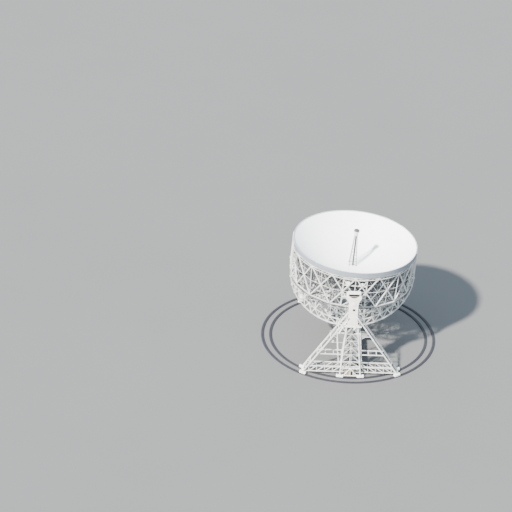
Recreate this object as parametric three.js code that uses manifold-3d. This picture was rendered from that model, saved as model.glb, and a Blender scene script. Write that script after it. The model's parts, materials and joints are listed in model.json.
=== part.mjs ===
// A fully steerable radio telescope at one tenth of its size, in millimetres, +Z up.
// The origin is on the ground at the azimuth pivot, and the front tower stands at -Y.
// The dish tips about an axis along Y at the tower tops.
import * as THREE from "three";
import { mergeVertices } from "three/addons/utils/BufferGeometryUtils.js";
import Module from "manifold-3d";

// Driving dimensions, written as metres of the full-size telescope
const M = 100; // model millimetres for each full-size metre
const GAP = 0.3; // between pieces that touch
const SLANT_GAP = 3 * GAP; // where one of the two faces is slanted
const LEAN_GAP = 4 * GAP; // under a wall, which leans outwards
const BEARING_GAP = 5 * GAP; // where one piece turns on another
const WELD = 1e-3; // vertices closer than this are one
const BEYOND = 1 * M; // how far a trimming block reaches past what it trims

const OUTER_TRACK_R = 53.75 * M;
const INNER_TRACK_R = 48.7 * M;
const TRACK_BEAM_WIDTH = 1.8 * M;
const RAIL_TOP = 0.55 * M;
const TRACK_SIDES = 48;
const PLINTH_R = 4.5 * M;
const PLINTH_TOP = 0.8 * M;
const PIVOT_R = 1.5 * M;
const PIVOT_TOP = 4 * M;
const PIVOT_BEARING_R = 3 * M;

const AXIS_Z = 50.5 * M; // height of the elevation axis
const BOWL_TILT = THREE.MathUtils.degToRad(3.3); // towards +X, as the photo shows it

// Towers: u is the distance from the elevation axis's middle, out along the axis
const OUTER_PLANE = 45.3 * M;
const INNER_PLANE = 39.1 * M;
const LEG_FOOT_X = 29 * M;
const LEG_TOP_X = 2.75 * M;
const LEG_TOP_Z = 41.5 * M;
const LEG_BAR = 0.7 * M;
const RUNG_BAR = 0.5 * M;
const RUNG_HEIGHTS = [8.5, 18, 26, 33].map((z) => z * M);
const SILL_TOP = 1.95 * M;
const TIE_Z = 14.7 * M;
const TIE_DEPTH = 0.5 * M;
const TIE_BAR = 0.4 * M;
const TIE_PANELS = 3;
const BASE_HALF = 28.3 * M;
const BASE_TOP = 6.15 * M;
const BASE_BAR = 0.45 * M;
const BASE_DEPTH = 0.5 * M;
const BASE_PANELS = 13;
const BASE_CROSS_NODES = [0, 3, 6, 7, 10, 13];

const CENTRE_BOGIE_X = 6.3 * M;
const CENTRE_BOGIE_PLANE = 48.2 * M;
const SHAFT_INNER_PLANE = 40.35 * M;
const SHAFT_TOP_X = 3.5 * M;
const SHAFT_TOP_OUTER_PLANE = 44.4 * M;
const SHAFT_PANELS = 3;
const SHAFT_BAR = 0.6 * M;
const SHAFT_BRACE = 0.35 * M;

const SKIRT_Z = 34.5 * M;
const SKIRT_CURVE_Z = 35.5 * M;
const SKIRT_HALF = 5.25 * M;
const NECK_LOW_Z = 41.5 * M;
const NECK_HIGH_Z = 49 * M;
const NECK_HALF = 2.75 * M;
const HEAD_CURVE_Z = 52.5 * M;
const HEAD_Z = 54.3 * M;
const HEAD_HALF = 4.5 * M;
const SHOULDER_Z = 56.3 * M;
const SHOULDER_X = 3 * M;
const HEAD_DIP = 1.35 * M;
const ROOF_HALF = 3.8 * M;
const ROOF_DEPTH = 3.2 * M;
const ROOF_LOW = 57.6 * M;
const ROOF_TOP = 58.3 * M;
const ROOF_POST = 0.5 * M;

const BOGIE_LENGTH = 4.4 * M;
const BOGIE_WIDTH = 1.6 * M;
const BOGIE_LOW = 0.85 * M;
const BOGIE_TOP = 1.75 * M;
const WHEEL_SPREAD = 2.6 * M;
const WHEEL_RADIUS = 0.45 * M;
const WHEEL_WIDTH = 0.5 * M;
const WHEEL_SIDES = 12;
const SILL_WIDTH = 1.6 * M;
const SPREADER_TOP = 4.6 * M;
const SPREADER_BAR = 0.4 * M;
const SPREADER_FOOT_X = 3.7 * M;

const DIAMETER_HALF_WIDTH = 7.2 * M;
const DIAMETER_LOW = 1.95 * M;
const DIAMETER_TOP = 6.15 * M;
const DIAMETER_PANELS = 10;
const DIAMETER_BAR = 0.45 * M;
const ROLLER_ANGLE = THREE.MathUtils.degToRad(6);
const ROLLER_R = 0.5 * M;
const ROLLER_LENGTH = 1.6 * M;
const ROLLER_CLEARANCE = 0.06 * M;
const TRESTLE_BAR = 0.5 * M;
const TRESTLE_FOOT_X = [1, 6.2].map((x) => x * M);

// Dish: w is the height above the elevation axis, r the distance from the dish's own axis
const RIM_R = 37.9 * M;
const RIM_W = 18.25 * M;
const DISH_FOCAL_LENGTH = 22.9 * M;
const DISH_THICKNESS = 0.12 * M;
const DISH_SIDES = 32;
const DISH_STATIONS = [9, 17, 25, 32, 36.5].map((r) => r * M);
const MAST_SEAT_R = 3.4 * M;
const BACK_FOCAL_LENGTH = 19.05 * M;
const BACK_VERTEX_W = -0.65 * M;
const BACK_THICKNESS = 0.1 * M;
const BACK_LIP = 0.3 * M;
const BACK_HOLE_R = 1.6 * M;
const BAND_LOW = 15.4 * M;
const BAND_TOP = 18.6 * M;
const BAND_THICKNESS = 0.4 * M;

const RIBS = 16;
const WALL_TOP_R = 37.9 * M;
const WALL_TOP_W = 14.5 * M;
const WALL_LOW_R = 37 * M;
const WALL_LOW_W = -6.5 * M;
const WALL_BAR = 0.6 * M;
const WALL_POST = 0.36 * M;
const WALL_LINK = 0.4 * M;
const FRAME_POST = 0.5 * M; // at the trunnions and on the wheel girders' upright ends
const OPEN_SIDE = 1.1; // how far a wall's side cells are stretched, so that no bar is left there
const TRUNNION_POST_X = 7.2 * M;
const TRUNNION_BEAM = 1 * M;
const TRUNNION_BLOCK = 3 * M;
const TRUNNION_BLOCK_FACE = 38.2 * M;
const TRUNNION_R = 0.8 * M;
const TRUNNION_END = 41.5 * M;
const TRUNNION_FLANGE_R = 1.3 * M;
const TRUNNION_FLANGE = 0.15 * M;
const TRUNNION_SIDES = 24;
const TRUNNION_BORE_R = TRUNNION_R + 1;
const BORE_END = 42 * M;

const WHEEL_GIRDER_R = 38.5 * M;
const WHEEL_GIRDER_INNER_R = 34.5 * M;
const WHEEL_GIRDER_PLANE = 6.5 * M;
const WHEEL_GIRDER_DEPTH = 0.6 * M;
const WHEEL_GIRDER_BAR = 0.5 * M;
const WHEEL_PANELS = 20;
const WHEEL_FACETS = 60;
const WHEEL_TIE = 0.4 * M;
const WHEEL_BRACE = 0.28 * M;
const WEB_TIE_DROP = 1 * M; // of the lowest ties' height below the webs' chords, clear of the hub
const ARM_X = 38.15 * M;
const ARM_TOP_W = 18 * M;

const HUB_R = 2.2 * M;
const UNDER_RING_RADII = [13, 25, 31].map((r) => r * M);
const RING_TRUSS_RADII = [25, 31].map((r) => r * M);
const RING_TRUSS_BRACE = 0.28 * M; // thinner than the chords, so that no faces lie in one plane
const UNDER_BAR = 0.5 * M;
const UNDER_BRACE = 0.35 * M;

const MAST_FOOT_HALF = 2.2 * M;
const MAST_TOP_HALF = 0.8 * M;
const MAST_TOP_W = 23.3 * M;
const MAST_LEG = 0.35 * M;
const MAST_BRACE = 0.22 * M;
const MAST_PANELS = 3;
const CABIN_NECK_R = 1.1 * M;
const CABIN_NECK_TOP_W = 25.3 * M;
const CABIN_R = 1.65 * M;
const CABIN_TOP_W = 27.3 * M;
const CABIN_SIDES = 24;

// Values worked out from the driving dimensions
const LEG_FOOT_Z = SILL_TOP + GAP;
const SLEEVE_OUTER = OUTER_PLANE - LEG_BAR / 2 - GAP;
const SLEEVE_INNER = INNER_PLANE + LEG_BAR / 2 + GAP;
const BASE_LOW = SILL_TOP + GAP;
const SHAFT_FOOT_Z = BOGIE_TOP;
const SHAFT_TOP_Z = SKIRT_Z - GAP - SHAFT_BAR / 2;
const SHAFT_BASE_Z = BASE_TOP + GAP + SHAFT_BAR / 2;
const BAY_ANGLE = (2 * Math.PI) / RIBS;
const DISH_VERTEX_W = RIM_W - (RIM_R * RIM_R) / (4 * DISH_FOCAL_LENGTH);
const WHEEL_STEP = Math.PI / WHEEL_PANELS;
const WEB_NODE = 2;
const WEB_W = -WHEEL_GIRDER_INNER_R * Math.sin(WEB_NODE * WHEEL_STEP);
const BELT_W = WALL_LOW_W - WALL_BAR / 2 - LEAN_GAP - UNDER_BAR / 2;
const WEB_SEAT_R = WHEEL_GIRDER_PLANE - WHEEL_GIRDER_DEPTH / 2;
const WEB_SEAT_W = WEB_W + WHEEL_GIRDER_BAR / 2 + UNDER_BAR / 2 + 2 * GAP;
const CONE_SLOPE = (BELT_W - WEB_SEAT_W) / (WALL_LOW_R - WEB_SEAT_R);

const PAINT = { color: 0xe4e4dc, roughness: 0.6, metalness: 0.1 };
const CLADDING = { color: 0xe9e4d6, roughness: 0.7, metalness: 0.05 };
const DISH_WHITE = { color: 0xf6f4ef, roughness: 0.5, metalness: 0.1 };
const BAND_GREY = { color: 0xc4c6ce, roughness: 0.6, metalness: 0.15 };
const BACK_GREY = { color: 0x8f8c8e, roughness: 0.7, metalness: 0.2 };
const BOGIE_PAINT = { color: 0xeceadf, roughness: 0.6, metalness: 0.2 };
const CONCRETE = { color: 0x77777b, roughness: 0.9, metalness: 0 };

const wasm = await Module();
wasm.setup();

const at = (x, y, z) => new THREE.Vector3(x, y, z);
const flat = (u, v) => new THREE.Vector2(u, v);
const X = at(1, 0, 0);
const Y = at(0, 1, 0);
const Z = at(0, 0, 1);

function toSolid(geometry) {
  const loose = geometry.index ? geometry.toNonIndexed() : geometry;
  const bare = new THREE.BufferGeometry();
  bare.setAttribute("position", loose.getAttribute("position"));
  const merged = mergeVertices(bare, WELD);
  const vertProperties = merged.getAttribute("position").array;
  const triVerts = new Uint32Array(merged.index.array);
  return new wasm.Manifold(new wasm.Mesh({ numProp: 3, vertProperties, triVerts }));
}

function toGeometry(solid) {
  const mesh = solid.getMesh();
  const geometry = new THREE.BufferGeometry();
  geometry.setAttribute("position", new THREE.BufferAttribute(mesh.vertProperties, 3));
  geometry.setIndex(new THREE.BufferAttribute(mesh.triVerts, 1));
  geometry.computeVertexNormals();
  return geometry;
}

function joined(geometries) {
  return toGeometry(geometries.map(toSolid).reduce((whole, next) => whole.add(next)));
}

function cut(geometry, tools) {
  return toGeometry(tools.map(toSolid).reduce((whole, tool) => whole.subtract(tool), toSolid(geometry)));
}

function piece(name, geometry, finish) {
  const mesh = new THREE.Mesh(geometry, new THREE.MeshStandardMaterial(finish));
  mesh.name = name;
  return mesh;
}

function block(low, high) {
  const size = high.clone().sub(low);
  const middle = low.clone().add(high).multiplyScalar(0.5);
  return new THREE.BoxGeometry(size.x, size.y, size.z).translate(middle.x, middle.y, middle.z);
}

// A square bar between two points, with one pair of faces square to side
function bar(from, to, width, side = Y) {
  const along = to.clone().sub(from);
  const length = along.length();
  along.normalize();
  const away = along.clone().cross(side).normalize();
  const across = away.clone().cross(along);
  const middle = from.clone().add(to).multiplyScalar(0.5);
  const place = new THREE.Matrix4().makeBasis(across, away, along).setPosition(middle);
  return new THREE.BoxGeometry(width, width, length).applyMatrix4(place);
}

function lathe(profile, sides) {
  return new THREE.LatheGeometry(profile, sides).rotateX(Math.PI / 2);
}

function ringBlock(innerR, outerR, low, high, sides) {
  const profile = [flat(innerR, low), flat(outerR, low), flat(outerR, high), flat(innerR, high)];
  return lathe([...profile, profile[0]], sides);
}

// A convex cell narrowed on every side by the same distance
function inset(corners, distance) {
  const inward = distance * Math.sign(THREE.ShapeUtils.area(corners));
  return corners.map((corner, i) => {
    const before = corner.clone().sub(corners.at(i - 1)).normalize();
    const after = corners[(i + 1) % corners.length].clone().sub(corner).normalize();
    const normals = flat(-before.y - after.y, before.x + after.x);
    return corner.clone().addScaledVector(normals, inward / (1 + before.dot(after)));
  });
}

function prism(outline, depth) {
  const shape = new THREE.Shape(outline);
  const geometry = new THREE.ExtrudeGeometry(shape, { depth, bevelEnabled: false });
  return geometry.translate(0, 0, -depth / 2);
}

// A flat lattice: an outline with its cells cut out, so that bars are left between them
function lattice(outline, cells, width, depth, origin, along, across) {
  const holes = cells.map((cell) => prism(inset(cell, width / 2), 2 * depth));
  const normal = along.clone().cross(across);
  const place = new THREE.Matrix4().makeBasis(along, across, normal).setPosition(origin);
  return cut(prism(outline, depth), holes).applyMatrix4(place);
}

function splitRising(lowLeft, lowRight, highRight, highLeft) {
  return [[lowLeft, lowRight, highRight], [lowLeft, highRight, highLeft]];
}

function splitFalling(lowLeft, lowRight, highRight, highLeft) {
  return [[lowLeft, lowRight, highLeft], [lowRight, highRight, highLeft]];
}

// The four triangles around the crossing of an even trapezoid's diagonals
function splitCrossed(quad) {
  const [lowLeft, lowRight, highRight] = quad;
  const share = lowRight.x / (lowRight.x + highRight.x);
  const crossing = flat(0, THREE.MathUtils.lerp(lowLeft.y, highRight.y, share));
  return quad.map((corner, i) => [corner, quad[(i + 1) % quad.length], crossing]);
}

// A cell made larger about its last corner
function stretched(cell, factor) {
  const centre = cell.at(-1);
  return cell.map((corner) => corner.clone().sub(centre).multiplyScalar(factor).add(centre));
}

// A straight truss of parallel chords, whose diagonals rise towards its middle
function truss(half, low, high, panels, width, depth, origin, along, across) {
  const outline = [flat(-half, low), flat(half, low), flat(half, high), flat(-half, high)];
  const left = -half + width / 2;
  const step = (-2 * left) / panels;
  const cells = [];
  for (let i = 0; i < panels; i++) {
    const a = left + i * step;
    const b = a + step;
    const split = a + b < 0 ? splitRising : splitFalling;
    const bottom = low + width / 2;
    const top = high - width / 2;
    cells.push(...split(flat(a, bottom), flat(b, bottom), flat(b, top), flat(a, top)));
  }
  return lattice(outline, cells, width, depth, origin, along, across);
}

// Rings and braces of a tapering tower with four corners, whose first face has crossed braces
function towerBracing(cornersAt, low, high, panels, width) {
  const bars = [];
  for (let panel = 0; panel < panels; panel++) {
    const start = cornersAt(THREE.MathUtils.lerp(low, high, panel / panels));
    const end = cornersAt(THREE.MathUtils.lerp(low, high, (panel + 1) / panels));
    end.forEach((corner, i) => {
      const next = (i + 1) % end.length;
      bars.push(bar(corner, end[next], width, Z));
      bars.push(bar(start[i], end[next], width, Z));
    });
    bars.push(bar(start[1], end[0], width, Z));
  }
  return bars;
}

// Tracks and pivot, which stay on the ground
function track(radius) {
  const half = TRACK_BEAM_WIDTH / 2;
  return ringBlock(radius - half, radius + half, 0, RAIL_TOP, TRACK_SIDES);
}

function pivotPlinth() {
  const profile = [
    flat(0, 0),
    flat(PLINTH_R, 0),
    flat(PLINTH_R, PLINTH_TOP),
    flat(PIVOT_R, PLINTH_TOP),
    flat(PIVOT_R, PIVOT_TOP),
    flat(0, PIVOT_TOP),
  ];
  return lathe(profile, CABIN_SIDES);
}

// Tower pieces, all drawn for the front tower
function legX(z) {
  const rise = (z - LEG_FOOT_Z) / (LEG_TOP_Z - LEG_FOOT_Z);
  return THREE.MathUtils.lerp(LEG_FOOT_X, LEG_TOP_X, rise);
}

function legPair(side) {
  const below = LEG_FOOT_Z - LEG_BAR;
  const rails = [OUTER_PLANE, INNER_PLANE].map((plane) =>
    bar(at(side * legX(below), -plane, below), at(side * LEG_TOP_X, -plane, LEG_TOP_Z), LEG_BAR),
  );
  const rungs = RUNG_HEIGHTS.map((z) =>
    bar(at(side * legX(z), -OUTER_PLANE, z), at(side * legX(z), -INNER_PLANE, z), RUNG_BAR, Z),
  );
  const reach = LEG_FOOT_X + 2 * BEYOND;
  const ground = block(at(-reach, -OUTER_PLANE - BEYOND, -BEYOND), at(reach, 0, LEG_FOOT_Z));
  return cut(joined([...rails, ...rungs]), [ground]);
}

function shaftX(z) {
  const rise = (z - SHAFT_FOOT_Z) / (SHAFT_TOP_Z - SHAFT_FOOT_Z);
  return THREE.MathUtils.lerp(CENTRE_BOGIE_X, SHAFT_TOP_X, rise);
}

function shaftOuterPlane(z) {
  const rise = (z - SHAFT_FOOT_Z) / (SHAFT_TOP_Z - SHAFT_FOOT_Z);
  return THREE.MathUtils.lerp(CENTRE_BOGIE_PLANE, SHAFT_TOP_OUTER_PLANE, rise);
}

function tie(side) {
  const near = shaftX(TIE_Z - TIE_DEPTH / 2) + SHAFT_BAR / 2 + SLANT_GAP;
  const far = legX(TIE_Z) + LEG_BAR / 2;
  const outer = SLEEVE_OUTER;
  const inner = SLEEVE_INNER;
  const outline = [flat(near, inner), flat(far, inner), flat(far, outer), flat(near, outer)];
  const half = TIE_BAR / 2;
  const [low, high] = [inner + half, outer - half];
  const cells = [];
  for (let i = 0; i < TIE_PANELS; i++) {
    const a = THREE.MathUtils.lerp(near + half, far - half, i / TIE_PANELS);
    const b = THREE.MathUtils.lerp(near + half, far - half, (i + 1) / TIE_PANELS);
    cells.push([flat(a, low), flat(b, low), flat(b, high), flat(a, high)]);
  }
  const along = X.clone().multiplyScalar(side);
  return lattice(outline, cells, TIE_BAR, TIE_DEPTH, at(0, 0, TIE_Z), along, Y.clone().negate());
}

function baseGirder() {
  const outer = SLEEVE_OUTER - BASE_DEPTH / 2;
  const inner = SLEEVE_INNER + BASE_DEPTH / 2;
  const planes = [outer, inner].map((plane) =>
    truss(BASE_HALF, BASE_LOW, BASE_TOP, BASE_PANELS, BASE_BAR, BASE_DEPTH, at(0, -plane, 0), X, Z),
  );
  const half = BASE_HALF - BASE_BAR / 2;
  const crosses = BASE_CROSS_NODES.flatMap((node) => {
    const x = -half + (2 * half * node) / BASE_PANELS;
    return [BASE_LOW + BASE_BAR / 2, BASE_TOP - BASE_BAR / 2].map((z) =>
      bar(at(x, -outer, z), at(x, -inner, z), BASE_BAR, Z),
    );
  });
  return joined([...planes, ...crosses]);
}

function shaftCorners(z) {
  const x = shaftX(z);
  const outer = -shaftOuterPlane(z);
  return [at(-x, outer, z), at(x, outer, z), at(x, -SHAFT_INNER_PLANE, z), at(-x, -SHAFT_INNER_PLANE, z)];
}

function shaft() {
  const low = shaftCorners(SHAFT_BASE_Z);
  const feet = shaftCorners(SHAFT_FOOT_Z - SHAFT_BAR);
  const tops = shaftCorners(SHAFT_TOP_Z + SHAFT_BAR);
  const legs = tops.map((top, i) => bar(i < 2 ? feet[i] : low[i], top, SHAFT_BAR));
  const sill = low.map((corner, i) => bar(corner, low[(i + 1) % low.length], SHAFT_BAR, Z));
  const bracing = towerBracing(shaftCorners, SHAFT_BASE_Z, SHAFT_TOP_Z, SHAFT_PANELS, SHAFT_BRACE);
  const wide = CENTRE_BOGIE_X + BEYOND;
  const far = CENTRE_BOGIE_PLANE + BEYOND;
  const above = block(at(-wide, -far, SKIRT_Z - GAP), at(wide, 0, SKIRT_Z + BEYOND));
  const under = block(at(-wide, -far, -BEYOND), at(wide, -OUTER_PLANE, BOGIE_TOP + GAP));
  return cut(joined([...legs, ...sill, ...bracing]), [above, under]);
}

function housingOutline() {
  const shape = new THREE.Shape();
  shape.moveTo(-SKIRT_HALF, SKIRT_Z);
  shape.lineTo(SKIRT_HALF, SKIRT_Z);
  shape.quadraticCurveTo(NECK_HALF, SKIRT_CURVE_Z, NECK_HALF, NECK_LOW_Z);
  shape.lineTo(NECK_HALF, NECK_HIGH_Z);
  shape.quadraticCurveTo(NECK_HALF, HEAD_CURVE_Z, HEAD_HALF, HEAD_Z);
  shape.lineTo(HEAD_HALF, SHOULDER_Z);
  shape.lineTo(SHOULDER_X, SHOULDER_Z);
  shape.quadraticCurveTo(0, SHOULDER_Z - 2 * HEAD_DIP, -SHOULDER_X, SHOULDER_Z);
  shape.lineTo(-HEAD_HALF, SHOULDER_Z);
  shape.lineTo(-HEAD_HALF, HEAD_Z);
  shape.quadraticCurveTo(-NECK_HALF, HEAD_CURVE_Z, -NECK_HALF, NECK_HIGH_Z);
  shape.lineTo(-NECK_HALF, NECK_LOW_Z);
  shape.quadraticCurveTo(-NECK_HALF, SKIRT_CURVE_Z, -SKIRT_HALF, SKIRT_Z);
  return shape;
}

function housing() {
  const depth = SLEEVE_OUTER - SLEEVE_INNER;
  const settings = { depth, bevelEnabled: false, curveSegments: 6 };
  const body = new THREE.ExtrudeGeometry(housingOutline(), settings);
  body.rotateX(Math.PI / 2).translate(0, -SLEEVE_INNER, 0);
  const bore = lathe(
    [
      flat(0, SLEEVE_INNER - BEYOND),
      flat(TRUNNION_BORE_R, SLEEVE_INNER - BEYOND),
      flat(TRUNNION_BORE_R, BORE_END),
      flat(0, BORE_END),
    ],
    TRUNNION_SIDES,
  );
  return cut(body, [bore.rotateX(Math.PI / 2).translate(0, 0, AXIS_Z)]);
}

function roof() {
  const back = SLEEVE_OUTER - ROOF_DEPTH;
  const slab = block(at(-ROOF_HALF, -SLEEVE_OUTER, ROOF_LOW), at(ROOF_HALF, -back, ROOF_TOP));
  const posts = [-1, 1].flatMap((side) =>
    [SLEEVE_OUTER - ROOF_POST / 2, back + ROOF_POST / 2].map((plane) => {
      const x = side * (ROOF_HALF - ROOF_POST / 2);
      return bar(at(x, -plane, SHOULDER_Z + GAP), at(x, -plane, ROOF_LOW + GAP), ROOF_POST);
    }),
  );
  return joined([slab, ...posts]);
}

// A box on two wheels, set along the track under a point of the tower
function bogie(x, plane) {
  const length = BOGIE_LENGTH / 2;
  const width = BOGIE_WIDTH / 2;
  const body = block(at(-length, -width, BOGIE_LOW), at(length, width, BOGIE_TOP));
  const wheels = [-1, 1].map((end) =>
    new THREE.CylinderGeometry(WHEEL_RADIUS, WHEEL_RADIUS, WHEEL_WIDTH, WHEEL_SIDES).translate(
      (end * WHEEL_SPREAD) / 2,
      0,
      RAIL_TOP + GAP + WHEEL_RADIUS,
    ),
  );
  const turn = Math.atan2(x, plane);
  return [body, ...wheels].map((part) => part.rotateZ(turn).translate(x, -plane, 0));
}

function cornerBogies(side) {
  const x = side * LEG_FOOT_X;
  const half = SILL_WIDTH / 2;
  const ends = LEG_BAR;
  const sill = block(
    at(x - half, -OUTER_PLANE - ends, BOGIE_TOP - GAP),
    at(x + half, -INNER_PLANE + ends, SILL_TOP),
  );
  return joined([...bogie(x, OUTER_PLANE), ...bogie(x, INNER_PLANE), sill]);
}

function centreBogies() {
  const x = CENTRE_BOGIE_X - BOGIE_LENGTH / 2;
  const z = BOGIE_TOP - SPREADER_BAR / 2;
  const plane = -CENTRE_BOGIE_PLANE;
  const beam = bar(at(-x, plane, z), at(x, plane, z), SPREADER_BAR);
  const peak = at(0, plane, SPREADER_TOP);
  const rafters = [-1, 1].map((side) => bar(at(side * SPREADER_FOOT_X, plane, z), peak, SPREADER_BAR));
  const sides = [-1, 1].flatMap((side) => bogie(side * CENTRE_BOGIE_X, CENTRE_BOGIE_PLANE));
  return joined([...sides, beam, ...rafters]);
}

function tower(end) {
  const group = new THREE.Group();
  group.rotation.z = end.turn;
  [
    { side: -1, word: end.left },
    { side: 1, word: end.right },
  ].forEach(({ side, word }) => {
    group.add(piece(end.name + "_" + word + "_leg", legPair(side), PAINT));
    group.add(piece(end.name + "_" + word + "_tie", tie(side), PAINT));
    group.add(piece(end.name + "_" + word + "_bogies", cornerBogies(side), BOGIE_PAINT));
  });
  group.add(piece(end.name + "_base_girder", baseGirder(), PAINT));
  group.add(piece(end.name + "_shaft", shaft(), PAINT));
  group.add(piece(end.name + "_housing", housing(), CLADDING));
  group.add(piece(end.name + "_roof", roof(), CLADDING));
  group.add(piece(end.name + "_centre_bogies", centreBogies(), BOGIE_PAINT));
  return group;
}

// The girder that joins the two towers across the pivot, and the rollers on it
function diameterSide(side) {
  const half = SLEEVE_INNER - GAP;
  const origin = at(side * DIAMETER_HALF_WIDTH, 0, 0);
  const low = DIAMETER_LOW;
  return truss(half, low, DIAMETER_TOP, DIAMETER_PANELS, DIAMETER_BAR, DIAMETER_BAR, origin, Y, Z);
}

function diameterFloor() {
  const half = DIAMETER_HALF_WIDTH - DIAMETER_BAR / 2 - GAP;
  const length = SLEEVE_INNER - GAP;
  const z = DIAMETER_TOP - DIAMETER_BAR / 2;
  return truss(length, -half, half, DIAMETER_PANELS, DIAMETER_BAR, DIAMETER_BAR, at(0, 0, z), Y, X);
}

// The ring under the floor that turns around the pivot post
function pivotBearing() {
  const top = DIAMETER_TOP - DIAMETER_BAR - GAP;
  return ringBlock(PIVOT_R + 2 * GAP, PIVOT_BEARING_R, PLINTH_TOP + BEARING_GAP, top, CABIN_SIDES);
}

function rollerFrame(side) {
  const y = side * WHEEL_GIRDER_PLANE;
  const reach = WHEEL_GIRDER_R + ROLLER_CLEARANCE + ROLLER_R;
  const rollerX = reach * Math.sin(ROLLER_ANGLE);
  const rollerZ = AXIS_Z - reach * Math.cos(ROLLER_ANGLE);
  const sillZ = DIAMETER_TOP + GAP + TRESTLE_BAR / 2;
  const wide = DIAMETER_HALF_WIDTH;
  const parts = [bar(at(-wide, y, sillZ), at(wide, y, sillZ), TRESTLE_BAR)];
  [-1, 1].forEach((way) => {
    const head = at(way * rollerX, y, rollerZ - ROLLER_R);
    TRESTLE_FOOT_X.forEach((x) => parts.push(bar(at(way * x, y, sillZ), head, TRESTLE_BAR)));
    parts.push(
      new THREE.CylinderGeometry(ROLLER_R, ROLLER_R, ROLLER_LENGTH, WHEEL_SIDES).translate(
        way * rollerX,
        y,
        rollerZ,
      ),
    );
  });
  return joined(parts);
}

// Dish pieces, drawn about the elevation axis with the dish facing up
function dishW(r) {
  return DISH_VERTEX_W + (r * r) / (4 * DISH_FOCAL_LENGTH);
}

function backW(r) {
  return BACK_VERTEX_W + (r * r) / (4 * BACK_FOCAL_LENGTH);
}

function reflector() {
  const stations = [...DISH_STATIONS, RIM_R];
  const seat = dishW(MAST_SEAT_R);
  const top = [flat(0, seat), flat(MAST_SEAT_R, seat), ...stations.map((r) => flat(r, dishW(r)))];
  const under = top.map((point) => flat(point.x, point.y - DISH_THICKNESS));
  return lathe([...under, ...top.reverse()], DISH_SIDES);
}

function backMembrane() {
  const stations = [BACK_HOLE_R, ...DISH_STATIONS];
  const edge = stations.at(-1);
  const lip = flat(edge, dishW(edge) - DISH_THICKNESS - GAP);
  const under = stations.map((r) => flat(r, backW(r) - BACK_THICKNESS));
  const top = [...stations.slice(0, -1), edge - BACK_LIP].map((r) => flat(r, backW(r)));
  const profile = [...under, lip, ...top.reverse()];
  return lathe([...profile, profile[0]], DISH_SIDES);
}

function rimBand() {
  return ringBlock(RIM_R + GAP, RIM_R + BAND_THICKNESS, BAND_LOW, BAND_TOP, DISH_SIDES);
}

function polar(r, angle, w) {
  return at(r * Math.cos(angle), r * Math.sin(angle), w);
}

// One bay of the dish's side, between two ribs, with crossed braces
function wallBay(angle) {
  const middle = angle + BAY_ANGLE / 2;
  const reach = Math.cos(BAY_ANGLE / 2);
  const lowHalf = WALL_LOW_R * Math.sin(BAY_ANGLE / 2);
  const topHalf = WALL_TOP_R * Math.sin(BAY_ANGLE / 2);
  const origin = polar(WALL_LOW_R * reach, middle, WALL_LOW_W);
  const up = polar(WALL_TOP_R * reach, middle, WALL_TOP_W).sub(origin);
  const height = up.length();
  const mitre = (WALL_BAR / 2) * Math.tan(BAY_ANGLE / 2) + GAP;
  const edge = WALL_BAR / 2;
  const outline = [
    flat(-lowHalf + mitre, -edge),
    flat(lowHalf - mitre, -edge),
    flat(topHalf - mitre, height + edge),
    flat(-topHalf + mitre, height + edge),
  ];
  const corners = [flat(-lowHalf, 0), flat(lowHalf, 0), flat(topHalf, height), flat(-topHalf, height)];
  const cells = splitCrossed(corners).map((cell, i) => (i % 2 ? stretched(cell, OPEN_SIDE) : cell));
  const along = at(-Math.sin(middle), Math.cos(middle), 0);
  return lattice(outline, cells, WALL_BAR, WALL_BAR, origin, along, up.normalize());
}

function wallParts(angle) {
  const edge = WALL_BAR / 2;
  const slope = (WALL_TOP_R - WALL_LOW_R) / (WALL_TOP_W - WALL_LOW_W);
  const foot = polar(WALL_LOW_R - edge * slope, angle, WALL_LOW_W - edge + 2 * GAP);
  const headR = WALL_TOP_R + (BAND_LOW - WALL_TOP_W) * slope;
  const head = polar(headR, angle, BAND_LOW - SLANT_GAP);
  const radial = polar(1, angle, 0);
  return [wallBay(angle - BAY_ANGLE), wallBay(angle), bar(foot, head, WALL_POST, radial)];
}

function wallR(w) {
  const rise = (w - WALL_LOW_W) / (WALL_TOP_W - WALL_LOW_W);
  return THREE.MathUtils.lerp(WALL_LOW_R, WALL_TOP_R, rise);
}

// A wall that carries a trunnion on a heavy frame, seen as the front one
function trunnionWall(angle) {
  const group = wallParts(angle);
  const outward = polar(1, angle, 0);
  const sideways = at(-outward.y, outward.x, 0);
  const place = (u, r, w) => sideways.clone().multiplyScalar(u).addScaledVector(outward, r).setZ(w);
  const planeR = (w) => wallR(w) * Math.cos(BAY_ANGLE / 2) * Math.cos(BAY_ANGLE / 2);
  [-1, 1].forEach((side) => {
    const x = side * TRUNNION_POST_X;
    const foot = place(x, planeR(WALL_LOW_W), WALL_LOW_W);
    group.push(bar(foot, place(x, planeR(WALL_TOP_W), WALL_TOP_W), FRAME_POST));
    group.push(bar(place(x, planeR(0), 0), place(0, planeR(0), 0), TRUNNION_BEAM, Z));
  });
  const half = TRUNNION_BLOCK / 2;
  const boxMiddle = (planeR(0) - half / 2 + TRUNNION_BLOCK_FACE) / 2;
  const boxDepth = TRUNNION_BLOCK_FACE - planeR(0) + half / 2;
  const box = new THREE.BoxGeometry(boxDepth, TRUNNION_BLOCK, TRUNNION_BLOCK);
  group.push(box.rotateZ(angle).translate(outward.x * boxMiddle, outward.y * boxMiddle, 0));
  return joined(group);
}

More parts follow.
